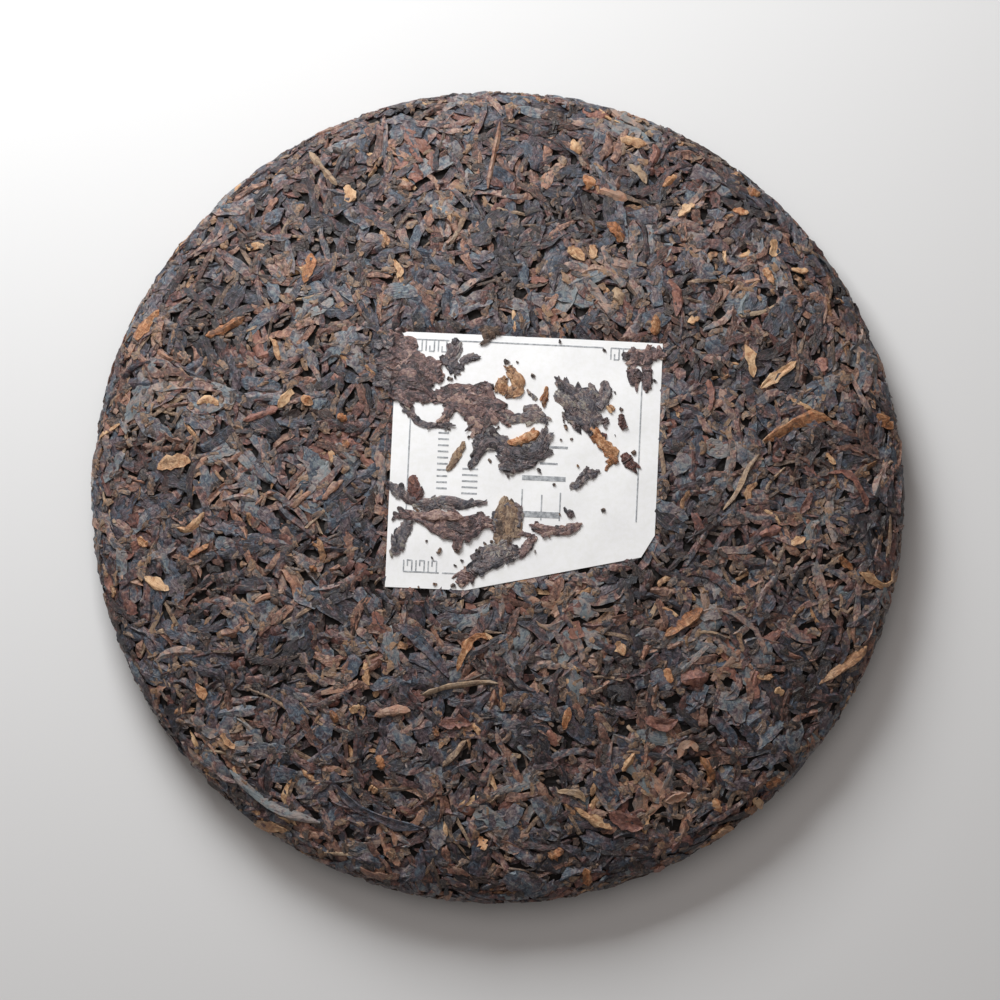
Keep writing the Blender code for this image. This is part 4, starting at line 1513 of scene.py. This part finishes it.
# Standing out from the pressed bed
# By finish: each leaf's shade, then its route with the half width along it, in mm
SINGLE_LEAVES: dict[Leaves, tuple[tuple[float, Route], ...]] = {
    Leaves.FOLDED: (
        (1.10, ((-65.9, -67.3, 0.5), (-61.5, -71.7, 0.9), (-56.1, -76.6, 1.1), (-49.3, -79.0, 1.0),
                (-42.9, -80.5, 0.6))),
        (0.50, ((-24.8, -32.4, 0.6), (-20.9, -34.8, 1.4), (-16.0, -39.2, 1.6), (-11.7, -45.5, 0.7))),
        (0.35, ((-41.4, -69.7, 0.5), (-37.5, -74.1, 1.0), (-33.2, -77.8, 1.2), (-28.0, -79.7, 1.2),
                (-22.9, -81.2, 1.0), (-17.8, -81.9, 0.5))),
    ),
    Leaves.BROWN: (
        (0.85, ((0.5, 92.1, 0.6), (-0.3, 87.0, 0.7), (-1.5, 80.6, 0.7), (-2.7, 74.3, 0.5))),
        (0.80, ((-42.8, -2.2, 0.5), (-40.4, 0.7, 0.9), (-37.5, 3.1, 0.5))),
        (1.00, ((-30.2, -54.7, 0.5), (-27.2, -53.5, 1.2), (-24.3, -53.0, 1.3), (-21.1, -53.7, 0.6))),
        (1.10, ((-50.2, -4.1, 0.4), (-48.0, -1.9, 0.8), (-45.3, 0.0, 0.5))),
        (1.10, ((24.8, 74.6, 0.5), (27.3, 73.6, 1.2), (29.7, 72.7, 1.5), (31.9, 71.7, 0.5))),
        (1.20, ((43.8, -64.9, 0.4), (44.6, -62.0, 1.0), (46.8, -60.8, 1.0), (48.7, -63.4, 0.4))),
        (1.20, ((40.5, -75.6, 0.4), (43.2, -74.4, 1.1), (46.3, -73.2, 0.5))),
    ),
    Leaves.RED: (
        (0.80, ((80.3, 4.7, 0.5), (84.3, 5.5, 0.9), (87.2, 3.8, 0.8), (89.2, 0.2, 0.8),
               (90.7, -3.7, 0.5))),
        (0.80, ((51.3, 27.7, 0.5), (52.2, 23.8, 0.9), (51.7, 19.4, 0.4))),
        (0.80, ((76.8, 0.0, 0.5), (75.3, -2.4, 1.2), (73.8, -5.4, 0.6))),
        (0.80, ((63.4, -10.6, 0.6), (66.4, -9.6, 1.2), (69.3, -8.6, 0.5))),
        (0.70, ((-14.6, -56.6, 0.5), (-12.2, -56.2, 1.3), (-9.2, -55.7, 1.4), (-6.3, -56.6, 0.6))),
        (0.80, ((-62.3, 17.3, 0.4), (-59.1, 18.5, 0.9), (-56.2, 19.7, 1.2), (-53.5, 20.6, 0.6))),
        (0.80, ((38.2, 86.3, 0.5), (39.4, 84.1, 1.2), (37.9, 81.1, 0.5))),
        (0.80, ((41.6, 52.4, 0.4), (43.6, 49.5, 0.8), (44.3, 46.0, 1.1), (43.5, 42.7, 0.5))),
        (0.80, ((44.3, -46.2, 0.8), (46.7, -45.2, 2.2), (49.2, -45.0, 2.2), (51.6, -44.5, 0.9))),
        (1.00, ((12.1, -57.8, 0.6), (13.4, -59.8, 1.3), (14.3, -62.0, 0.5))),
        (0.80, ((35.5, -54.9, 0.6), (38.0, -56.1, 1.5), (40.9, -56.9, 1.7), (43.8, -55.2, 0.7))),
        (0.70, ((26.8, -77.8, 0.7), (29.5, -79.0, 1.9), (32.7, -80.5, 2.0), (35.6, -81.7, 0.7))),
        (1.00, ((38.0, -92.4, 0.4), (39.5, -91.6, 1.0), (40.9, -90.9, 0.4))),
    ),
    Leaves.AMBER: (
        (0.33, ((64.5, 12.4, 0.6), (68.4, 14.4, 1.2), (73.9, 17.4, 1.6), (78.9, 18.7, 1.4),
               (81.9, 17.8, 0.6))),
        (0.45, ((-45.9, 59.0, 0.6), (-46.1, 56.0, 1.2), (-47.1, 53.0, 1.2), (-47.5, 51.0, 0.6))),
        (0.25, ((-71.9, 38.4, 0.6), (-67.7, 39.8, 1.0), (-63.2, 42.3, 1.1), (-61.8, 43.2, 0.5))),
        (0.35, ((26.5, 66.3, 0.5), (28.2, 65.3, 1.2), (30.4, 62.8, 1.3), (29.4, 61.1, 0.5))),
        (0.50, ((-83.1, 45.5, 0.5), (-85.5, 43.0, 1.0), (-87.5, 40.1, 1.2), (-88.9, 37.6, 0.7))),
        (0.50, ((-73.8, -46.4, 0.5), (-72.3, -48.8, 1.1), (-71.6, -50.7, 0.6))),
        (0.30, ((93.2, 19.9, 0.5), (95.2, 17.4, 1.2), (97.1, 15.9, 0.6))),
        (0.35, ((40.4, -35.3, 0.9), (43.3, -33.3, 1.3), (46.7, -30.9, 1.3), (50.1, -28.4, 0.9))),
        (0.10, ((-40.9, -53.2, 0.6), (-39.9, -54.7, 1.0), (-38.9, -56.1, 0.5))),
        (0.30, ((83.2, -15.6, 0.4), (85.2, -17.3, 0.9), (86.9, -18.9, 0.5))),
        (0.60, ((-10.0, -44.0, 0.4), (-8.7, -39.9, 0.8), (-6.8, -36.3, 0.9), (-3.9, -34.6, 0.8),
                (-2.4, -36.3, 0.4))),
        (0.20, ((-15.8, -57.8, 0.4), (-15.1, -58.6, 0.8), (-14.3, -59.3, 0.4))),
        (0.50, ((-29.4, -63.9, 0.5), (-28.7, -65.6, 1.1), (-28.2, -67.6, 0.5))),
        (0.90, ((-4.6, -83.9, 0.6), (-3.9, -85.3, 1.2), (-2.9, -87.0, 0.6))),
        (0.80, ((-48.1, 23.0, 0.5), (-46.6, 22.3, 1.4), (-44.9, 21.5, 0.6))),
        (0.35, ((-39.2, 18.8, 0.5), (-38.0, 18.1, 1.1), (-36.6, 17.3, 0.5))),
        (0.40, ((-75.7, -16.1, 0.4), (-73.3, -14.4, 0.9), (-70.3, -12.7, 0.5))),
        (0.10, ((-46.0, -18.3, 0.4), (-45.0, -18.7, 0.9), (-44.0, -19.5, 0.4))),
        (0.15, ((-37.8, 12.7, 0.4), (-37.0, 11.7, 1.0), (-36.5, 10.5, 0.4))),
        (0.60, ((-88.4, -10.9, 0.4), (-87.2, -11.8, 1.2), (-85.7, -13.1, 0.5))),
        (0.60, ((20.9, 78.2, 0.5), (22.4, 76.7, 1.6), (21.8, 74.4, 0.6))),
        (0.50, ((40.3, 75.3, 0.5), (42.3, 76.9, 1.2), (44.1, 78.4, 0.5))),
        (0.35, ((61.3, 75.4, 0.5), (63.0, 74.7, 1.4), (64.7, 73.7, 0.6))),
        (0.55, ((57.6, 70.0, 0.4), (59.6, 69.5, 1.0), (61.8, 69.0, 0.4))),
        (0.60, ((65.6, 55.6, 0.5), (66.6, 53.6, 1.1), (67.8, 51.6, 0.4))),
        (0.45, ((38.4, 43.4, 0.7), (38.6, 40.7, 1.4), (38.3, 38.0, 0.8))),
        (0.60, ((40.9, -42.8, 0.5), (41.6, -44.7, 1.1), (41.8, -46.7, 0.5))),
        (0.50, ((17.5, -52.3, 0.5), (16.8, -54.9, 1.1), (15.8, -58.1, 0.5))),
        (0.20, ((49.0, -64.4, 0.4), (50.7, -66.6, 0.9), (52.4, -68.8, 1.0), (51.2, -71.5, 0.5))),
        (0.75, ((52.7, -74.4, 0.5), (53.4, -76.1, 1.2), (54.4, -78.0, 0.5))),
        (0.20, ((60.3, -78.0, 0.4), (62.0, -77.3, 1.1), (63.7, -76.6, 0.4))),
        (0.35, ((21.0, -91.4, 0.5), (21.7, -93.6, 1.2), (21.9, -95.8, 0.5))),
        (0.20, ((65.6, -72.0, 0.5), (67.4, -70.7, 1.3), (69.1, -69.5, 0.5))),
        (0.30, ((12.2, -89.0, 0.6), (14.1, -88.0, 1.5), (16.1, -87.0, 0.6))),
    ),
    Leaves.GOLD: (
        (0.62, ((-83.5, 5.8, 0.5), (-81.0, 7.2, 1.7), (-78.8, 7.7, 2.0), (-76.3, 7.9, 1.2),
               (-74.8, 7.4, 0.4))),
        (0.85, ((-73.7, 21.6, 0.5), (-71.5, 23.1, 1.0), (-69.5, 22.3, 1.4), (-68.0, 21.3, 0.5))),
        (0.85, ((-37.2, 76.0, 0.8), (-36.4, 73.5, 1.4), (-36.6, 71.2, 0.8))),
        (0.75, ((17.1, 60.2, 0.8), (19.3, 58.7, 1.3), (21.0, 56.3, 0.6))),
        (0.60, ((-67.4, -58.5, 0.5), (-65.9, -61.0, 0.9), (-64.0, -62.4, 0.5))),
        (0.50, ((78.2, -46.8, 0.5), (81.6, -44.4, 1.0), (85.1, -41.9, 1.1), (88.5, -39.5, 1.1),
                (90.5, -37.1, 0.6))),
        (0.60, ((-60.0, -80.0, 0.7), (-56.1, -81.4, 1.1), (-51.2, -82.4, 0.7))),
        (1.00, ((67.6, -47.8, 0.6), (68.8, -48.6, 1.0), (69.8, -49.3, 0.5))),
        (0.60, ((28.9, -36.3, 0.6), (29.9, -38.2, 1.2), (30.6, -40.1, 0.6))),
        (0.95, ((-53.7, 20.4, 0.5), (-51.8, 22.8, 1.1), (-50.3, 25.3, 0.6))),
        (0.70, ((88.1, -19.2, 0.5), (91.1, -20.7, 0.9), (94.5, -22.9, 0.7), (96.4, -21.9, 0.5),
                (97.4, -18.0, 0.4))),
        (0.95, ((64.1, 25.2, 0.5), (67.0, 27.9, 1.2), (70.5, 30.5, 1.1), (73.3, 32.2, 0.5))),
        (0.90, ((60.2, 36.3, 0.5), (61.2, 33.8, 1.2), (62.1, 30.8, 1.2), (62.4, 27.9, 0.5))),
        (0.80, ((80.3, 9.9, 0.4), (81.8, 7.9, 0.7), (82.8, 7.0, 0.4))),
        (0.80, ((71.3, -12.7, 0.5), (73.0, -12.0, 0.9), (75.2, -11.0, 0.5))),
        (0.85, ((-36.0, -53.7, 0.5), (-34.8, -52.7, 1.1), (-33.3, -52.0, 0.5))),
        (0.70, ((-31.4, -71.7, 0.5), (-30.4, -72.4, 1.0), (-29.2, -72.9, 0.5))),
        (0.60, ((-78.5, -8.5, 0.4), (-76.3, -9.5, 0.9), (-73.8, -7.8, 1.1), (-71.3, -4.9, 0.6))),
        (1.00, ((-86.4, -20.2, 0.5), (-84.4, -21.4, 1.2), (-82.2, -22.7, 1.1), (-80.2, -23.9, 0.5))),
        (0.70, ((29.8, 87.8, 0.5), (32.3, 87.3, 1.3), (34.7, 86.8, 1.4), (36.7, 86.1, 0.6))),
        (0.85, ((18.5, 87.6, 0.5), (19.2, 85.6, 1.3), (20.2, 83.3, 0.5))),
        (0.75, ((22.3, 60.5, 0.6), (23.5, 58.8, 1.5), (23.0, 57.0, 0.6))),
        (0.95, ((44.0, 67.8, 0.5), (46.0, 69.6, 1.1), (48.4, 71.1, 0.5))),
        (0.90, ((67.2, 62.6, 0.6), (68.1, 60.6, 1.5), (67.4, 58.1, 0.6))),
        (0.80, ((72.0, 55.4, 0.4), (74.3, 54.9, 0.9), (76.5, 54.9, 0.4))),
        (0.85, ((46.2, 41.5, 0.5), (47.7, 42.0, 1.1), (49.4, 42.6, 0.4))),
        (0.75, ((30.2, -68.3, 0.4), (31.9, -65.6, 0.9), (33.3, -63.2, 0.4))),
        (0.70, ((18.5, -76.5, 0.4), (21.4, -78.5, 1.0), (24.4, -80.2, 1.2), (28.0, -82.2, 0.6))),
        (0.95, ((62.0, -74.9, 0.5), (63.4, -75.4, 1.2), (65.1, -76.3, 0.5))),
        (0.65, ((51.9, -84.4, 0.4), (54.6, -82.9, 0.9), (57.8, -81.4, 0.4))),
    ),
    Leaves.STEM: (
        (0.85, ((-46.6, 84.6, 0.7), (-44.3, 81.6, 0.9), (-41.9, 78.7, 0.9), (-39.4, 75.6, 0.7))),
        (0.85, ((64.0, 9.4, 0.4), (61.0, 6.2, 0.6), (59.3, 1.8, 0.6), (57.0, -2.1, 0.6),
               (54.6, -4.8, 0.4))),
        (0.90, ((-19.0, -49.6, 0.4), (-14.1, -47.9, 0.7), (-8.7, -46.9, 0.8), (-3.4, -46.5, 0.7),
                (0.5, -46.7, 0.4))),
        (0.60, ((-7.5, -60.3, 0.4), (-9.7, -62.7, 0.8), (-11.9, -65.1, 0.8), (-13.6, -67.1, 0.4))),
        (1.00, ((32.0, 81.1, 0.4), (34.2, 79.8, 0.9), (35.7, 78.1, 0.9), (36.4, 76.0, 0.4))),
        (0.95, ((28.6, 50.3, 0.6), (29.6, 48.1, 1.3), (30.3, 45.4, 0.4))),
        (1.00, ((14.1, -72.9, 0.4), (17.3, -72.9, 0.8), (20.0, -73.6, 0.9), (21.4, -75.6, 0.4))),
    ),
}

# Places of crumbs on the paper and their lengths, in mm
PAPER_SPECKS: Route = (
    (8.5, 28.2, 0.8), (30.0, 20.0, 0.6), (25.6, -4.6, 0.7), (-2.0, 7.4, 0.6), (2.5, 3.6, 0.6),
    (13.6, 1.6, 0.5), (10.0, 5.0, 0.8), (19.4, 6.2, 0.5), (17.9, 12.7, 0.5), (15.3, 12.5, 0.4),
    (16.5, 15.6, 0.8), (16.0, 17.1, 0.5), (0.1, 15.6, 0.5), (15.1, 36.7, 0.5), (25.9, 34.6, 0.5),
    (9.0, -14.7, 0.4), (-3.2, -12.8, 0.5), (-1.6, -12.3, 0.6), (-10.4, -18.1, 0.5), (-8.8, -16.9, 0.5),
    (-15.3, -22.6, 0.7), (-19.3, -23.4, 0.5), (-10.9, -22.9, 0.9), (-17.4, -12.1, 0.5), (-14.3, -14.5, 0.9),
    (-10.0, -14.7, 0.7), (-16.0, -16.2, 0.4), (-18.4, 21.4, 0.4), (33.1, 9.4, 0.9), (4.7, 31.6, 0.4),
    (2.0, 31.6, 1.0), (-11.7, 27.5, 0.9), (-10.5, 28.0, 0.5), (28.5, 24.1, 0.4), (31.5, 32.7, 0.9),
    (31.9, 29.8, 0.7), (38.2, 27.1, 0.6), (7.1, 6.0, 0.7), (-0.4, 15.1, 0.4), (-7.1, 13.2, 0.5),
    (-11.9, 15.1, 0.4), (28.5, 13.7, 0.3), (15.0, -5.6, 0.4), (4.4, 5.5, 0.5), (-19.6, -4.6, 0.6),
    (-20.3, -4.1, 0.5), (-4.9, -14.5, 0.9),
)


@dataclass
class LargeLeaves:
    """The larger leaves: broken and pressed leaf over the ticket, and single leaves in the bed."""

    skin: Skin
    ticket: Ticket
    front: LeafBed
    bed: Piling
    blank: Blank = field(default_factory=lambda: Blank(17, 8))
    small_blank: Blank = field(default_factory=lambda: Blank(8, 6))
    single_blank: Blank = field(default_factory=lambda: Blank(9, 8))
    flakes_per_mm2: float = 0.45
    full_flake: float = 2.6 * MM
    thinned: float = 0.88
    ride_height: float = 0.3 * MM
    least_gap: float = 0.02 * MM
    give: float = 0.7 * MM
    single_sink: float = 0.3 * MM
    single_lift: float = 0.32 * MM

    def on_ticket(self, places: np.ndarray) -> np.ndarray:
        """Height of the paper, or of the bed beside it, at places on the front."""
        beside = np.clip(self.ticket.distance(places), 0.0, 0.9 * MM) * 0.9
        return self.ticket.paper_height(places[..., 0], places[..., 1]) + beside

    def flakes(self, leaf: LargeLeaf, rng: np.random.Generator) -> Batch:
        """Lays flakes along a leaf's strokes, which make its face and its outline uneven.

        Args:
            leaf: The leaf.
            rng: The source of chance.

        Returns:
            The flakes.
        """
        middles, headings, sizes = [], [], []
        for stroke in leaf.strokes:
            route = np.array(stroke.route) * MM
            gaps = np.diff(route[:, :2], axis=0)
            way = np.concatenate([[0.0], np.cumsum(np.linalg.norm(gaps, axis=1))])
            area = way[-1] * 2 * route[:, 2].mean() / MM**2
            count = max(1, int(area * self.flakes_per_mm2))
            want = rng.uniform(0.0, way[-1], count)
            part = np.clip(np.searchsorted(way, want) - 1, 0, len(gaps) - 1)
            along = gaps[part] / np.linalg.norm(gaps[part], axis=1)[:, None]
            aside = np.stack([-along[:, 1], along[:, 0]], axis=1)
            half = np.interp(want, way, route[:, 2])
            middle = np.stack([np.interp(want, way, route[:, i]) for i in range(2)], axis=1)
            middles.append(middle + aside * (half * rng.uniform(-0.75, 0.75, count))[:, None])
            sizes.append(np.clip(half / self.full_flake, 0.4, 1.15))
            headings.append(np.arctan2(along[:, 1], along[:, 0]) + rng.normal(0.0, 0.38, count))
        middle, heading = np.concatenate(middles), np.concatenate(headings)
        laid = self.scatter(FLAKES, middle, heading, np.concatenate(sizes), rng, 0.5 * MM)
        laid.tone[:] = np.clip(leaf.tone + rng.uniform(-0.42, 0.45, len(heading)), 0.0, 1.1)
        return laid

    def scatter(self, kind: LeafKind, middle: np.ndarray, heading: np.ndarray, size: np.ndarray,
                rng: np.random.Generator, most: float) -> Batch:
        """Drops small pieces on the ticket.

        Args:
            kind: Their kind.
            middle: (pieces, 2) places of their middles.
            heading: (pieces,) directions of their length.
            size: (pieces,) how large each is, against its kind.
            rng: The source of chance.
            most: The highest that a piece lies over the paper.

        Returns:
            The pieces, in random shades.
        """
        blank = self.small_blank
        along, across, up = (way * size[:, None] for way in kind.shape(blank, len(heading), rng))
        c, s = np.cos(heading)[:, None], np.sin(heading)[:, None]
        flat = np.stack([along * c - across * s, along * s + across * c], axis=-1) + middle[:, None, :]
        ground = self.on_ticket(flat)
        z = ground + up + rng.uniform(0.15 * MM, most, (len(up), 1))
        z = np.maximum(z, ground + self.least_gap * (1 + blank.up))
        placed = np.concatenate([flat, z[..., None]], axis=-1)
        grain = np.stack([along, across], axis=-1) / MM
        grain = grain + rng.uniform(0.0, GRAIN_SPREAD_MM, (len(up), 1, 2))
        return Batch(blank, placed, grain, rng.uniform(0.15, 0.7, len(heading)))

    def finish(self, leaf: LargeLeaf, batches: list[Batch]) -> None:
        """Turns a leaf's stretches and flakes into one piece.

        Args:
            leaf: The leaf that the meshes belong to.
            batches: Its stretches and flakes.
        """
        mesh = joined_mesh(leaf.name, batches)
        piece = link_piece(leaf.name, mesh, MATERIALS[leaf.finish.name])
        if leaf.node:
            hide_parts(leaf.node)

    def build_on_ticket(self) -> None:
        """Builds the broken leaves that lie on the ticket."""
        rng = np.random.default_rng(77)
        for number, leaf in enumerate(TICKET_LEAVES):
            points, grain = [], []
            for part, stroke in enumerate(leaf.strokes):
                flat, rise, own = stroke.points(self.blank, 100 + 10 * number + part, self.thinned)
                ground = self.on_ticket(flat)
                z = ground + rise + self.ride_height * stroke.thickness_mm
                z = np.maximum(z, ground + self.least_gap * (1 + self.blank.up))
                points.append(np.concatenate([flat, z[:, None]], axis=1))
                grain.append(own + 17.0 * part + 5.0 * number)
            body = Batch(self.blank, np.stack(points), np.stack(grain), np.full(len(points), leaf.tone))
            self.finish(leaf, [body, self.flakes(leaf, rng)])

    def build_specks(self) -> None:
        """Strews crumbs of leaf on the bare paper."""
        rng = np.random.default_rng(78)
        spots = np.array(PAPER_SPECKS)
        heading = rng.uniform(0.0, math.tau, len(spots))
        specks = self.scatter(SPECKS, spots[:, :2] * MM, heading, spots[:, 2], rng, 0.3 * MM)
        self.finish(LargeLeaf("paper_specks", Leaves.CRUMB, Slot.DARK, ()), [specks])

    def build_in_bed(self) -> None:
        """Builds the leaves that stand out from the pressed bed, as one piece of each finish."""
        soft, level = self.bed.blurred(self.give), self.bed.blurred(LEVEL_WIDTH)
        blank = self.single_blank
        rng = np.random.default_rng(79)
        for finish, leaves in SINGLE_LEAVES.items():
            points, grain = [], []
            for _, route in leaves:
                stroke = Stroke(route, thickness_mm=0.6, fold=0.28, ragged=0.15)
                seen, rise, own = stroke.points(blank, int(rng.integers(1 << 30)))
                flat = self.skin.from_above(seen)
                under = self.bed.read(soft, flat) - self.bed.read(level, flat)
                ground = np.maximum(self.front.pressed(flat, under), -self.single_sink)
                points.append(self.skin.lay(Side.FRONT, flat, ground + rise + self.single_lift))
                grain.append(own + rng.uniform(0.0, GRAIN_SPREAD_MM, 2))
            tones = np.array([tone for tone, _ in leaves])
            batch = Batch(blank, np.stack(points), np.stack(grain), tones)
            name = f"{finish.name.lower()}_leaves_on_top"
            self.finish(LargeLeaf(name, finish, Slot.PRESSED_TEA, ()), [batch])


# ---------------------------------------------------------------------------------------------
# Studio
# ---------------------------------------------------------------------------------------------


@dataclass(frozen=True)
class SoftLight:
    """A square light: where it hangs and its side in metres, its power in watts, and its tint."""

    name: str
    place: tuple[float, float, float]
    size: float
    power: float
    tint: str


@dataclass
class Studio:
    """Pale floor, soft lights and the camera that looks down on the cake."""

    target: Vector
    lights: tuple[SoftLight, ...] = (
        SoftLight("key", (-0.18, 0.42, 0.34), 0.28, 4.15, "#fcfeff"),
        SoftLight("fill", (-0.05, 0.14, 0.80), 0.55, 1.12, "#fff6f2"),
    )
    room: str = "#fbf4f0"
    room_strength: float = 0.18
    floor_reach: float = 4.0
    lens_mm: float = 150.0
    sensor_mm: float = 36.0
    distance: float = 1.0257
    tilt: float = math.radians(3.5)
    look: tuple[float, float] = (0.0005, -0.0014)

    def build(self) -> None:
        """Builds the floor, the lights, the world and the camera."""
        self.build_floor()
        for light in self.lights:
            self.build_light(light)
        world = bpy.context.scene.world or bpy.data.worlds.new("studio")
        bpy.context.scene.world = world
        world.use_nodes = True
        background = world.node_tree.nodes["Background"]
        background.inputs["Color"].default_value = linear_colour(self.room)
        background.inputs["Strength"].default_value = self.room_strength
        bpy.context.scene.view_settings.view_transform = "Standard"
        self.build_camera()

    def build_floor(self) -> None:
        """The pale board that the cake lies on."""
        made = bmesh.new()
        bmesh.ops.create_grid(made, x_segments=1, y_segments=1, size=self.floor_reach)
        mesh = bpy.data.meshes.new("studio_floor")
        made.to_mesh(mesh)
        made.free()
        mesh.materials.append(FloorFinish().material())
        floor = bpy.data.objects.new("studio_floor", mesh)
        bpy.context.scene.collection.objects.link(floor)

    def build_light(self, plan: SoftLight) -> None:
        """Hangs a soft square light that faces the cake.

        Args:
            plan: The light.
        """
        light = bpy.data.lights.new(plan.name, "AREA")
        light.size = plan.size
        light.energy = plan.power
        light.color = linear_colour(plan.tint)[:3]
        lamp = bpy.data.objects.new(plan.name, light)
        lamp.location = plan.place
        lamp.rotation_euler = (self.target - Vector(plan.place)).to_track_quat("-Z", "Y").to_euler()
        bpy.context.scene.collection.objects.link(lamp)

    def build_camera(self) -> None:
        """Sets the camera over the cake, a little towards its lower edge."""
        data = bpy.data.cameras.new("camera")
        data.lens = self.lens_mm
        data.sensor_width = self.sensor_mm
        camera = bpy.data.objects.new("camera", data)
        aim = self.target + Vector((self.look[0], self.look[1], 0.0))
        camera.location = aim + Vector((0.0, -math.sin(self.tilt), math.cos(self.tilt))) * self.distance
        camera.rotation_euler = (self.tilt, 0.0, 0.0)
        bpy.context.scene.collection.objects.link(camera)
        bpy.context.scene.camera = camera


MATERIALS: dict[str, bpy.types.Material] = {}


def corners(bounds: object) -> list[list[float]]:
    """A box's two corners as plain lists."""
    return [[float(value) for value in corner] for corner in bounds]


def main() -> None:
    """Builds the cake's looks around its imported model."""
    logging.basicConfig(level=logging.INFO, format="%(name)s: %(message)s")
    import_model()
    low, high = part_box("cake")
    skin = Skin(radius=(high.x - low.x) / 2, height=high.z)
    for finish in Leaves:
        MATERIALS[finish.name] = finish.value.material()
    ticket = Ticket(skin)
    Core(skin).build()
    front = LeafBed(Side.FRONT, skin, seed=5, layers=4, per_layer=2150)
    bed = front.build(ticket)
    back = LeafBed(Side.BACK, skin, seed=8, layers=3, per_layer=1900, over_rim=2.0 * MM, sink=0.5 * MM)
    back.build(None)
    ticket.build()
    TicketPrint(ticket).build()
    large = LargeLeaves(skin, ticket, front, bed)
    large.build_on_ticket()
    large.build_specks()
    large.build_in_bed()
    Studio(Vector((0.0, 0.0, 0.012))).build()


if __name__ == "__main__":
    main()
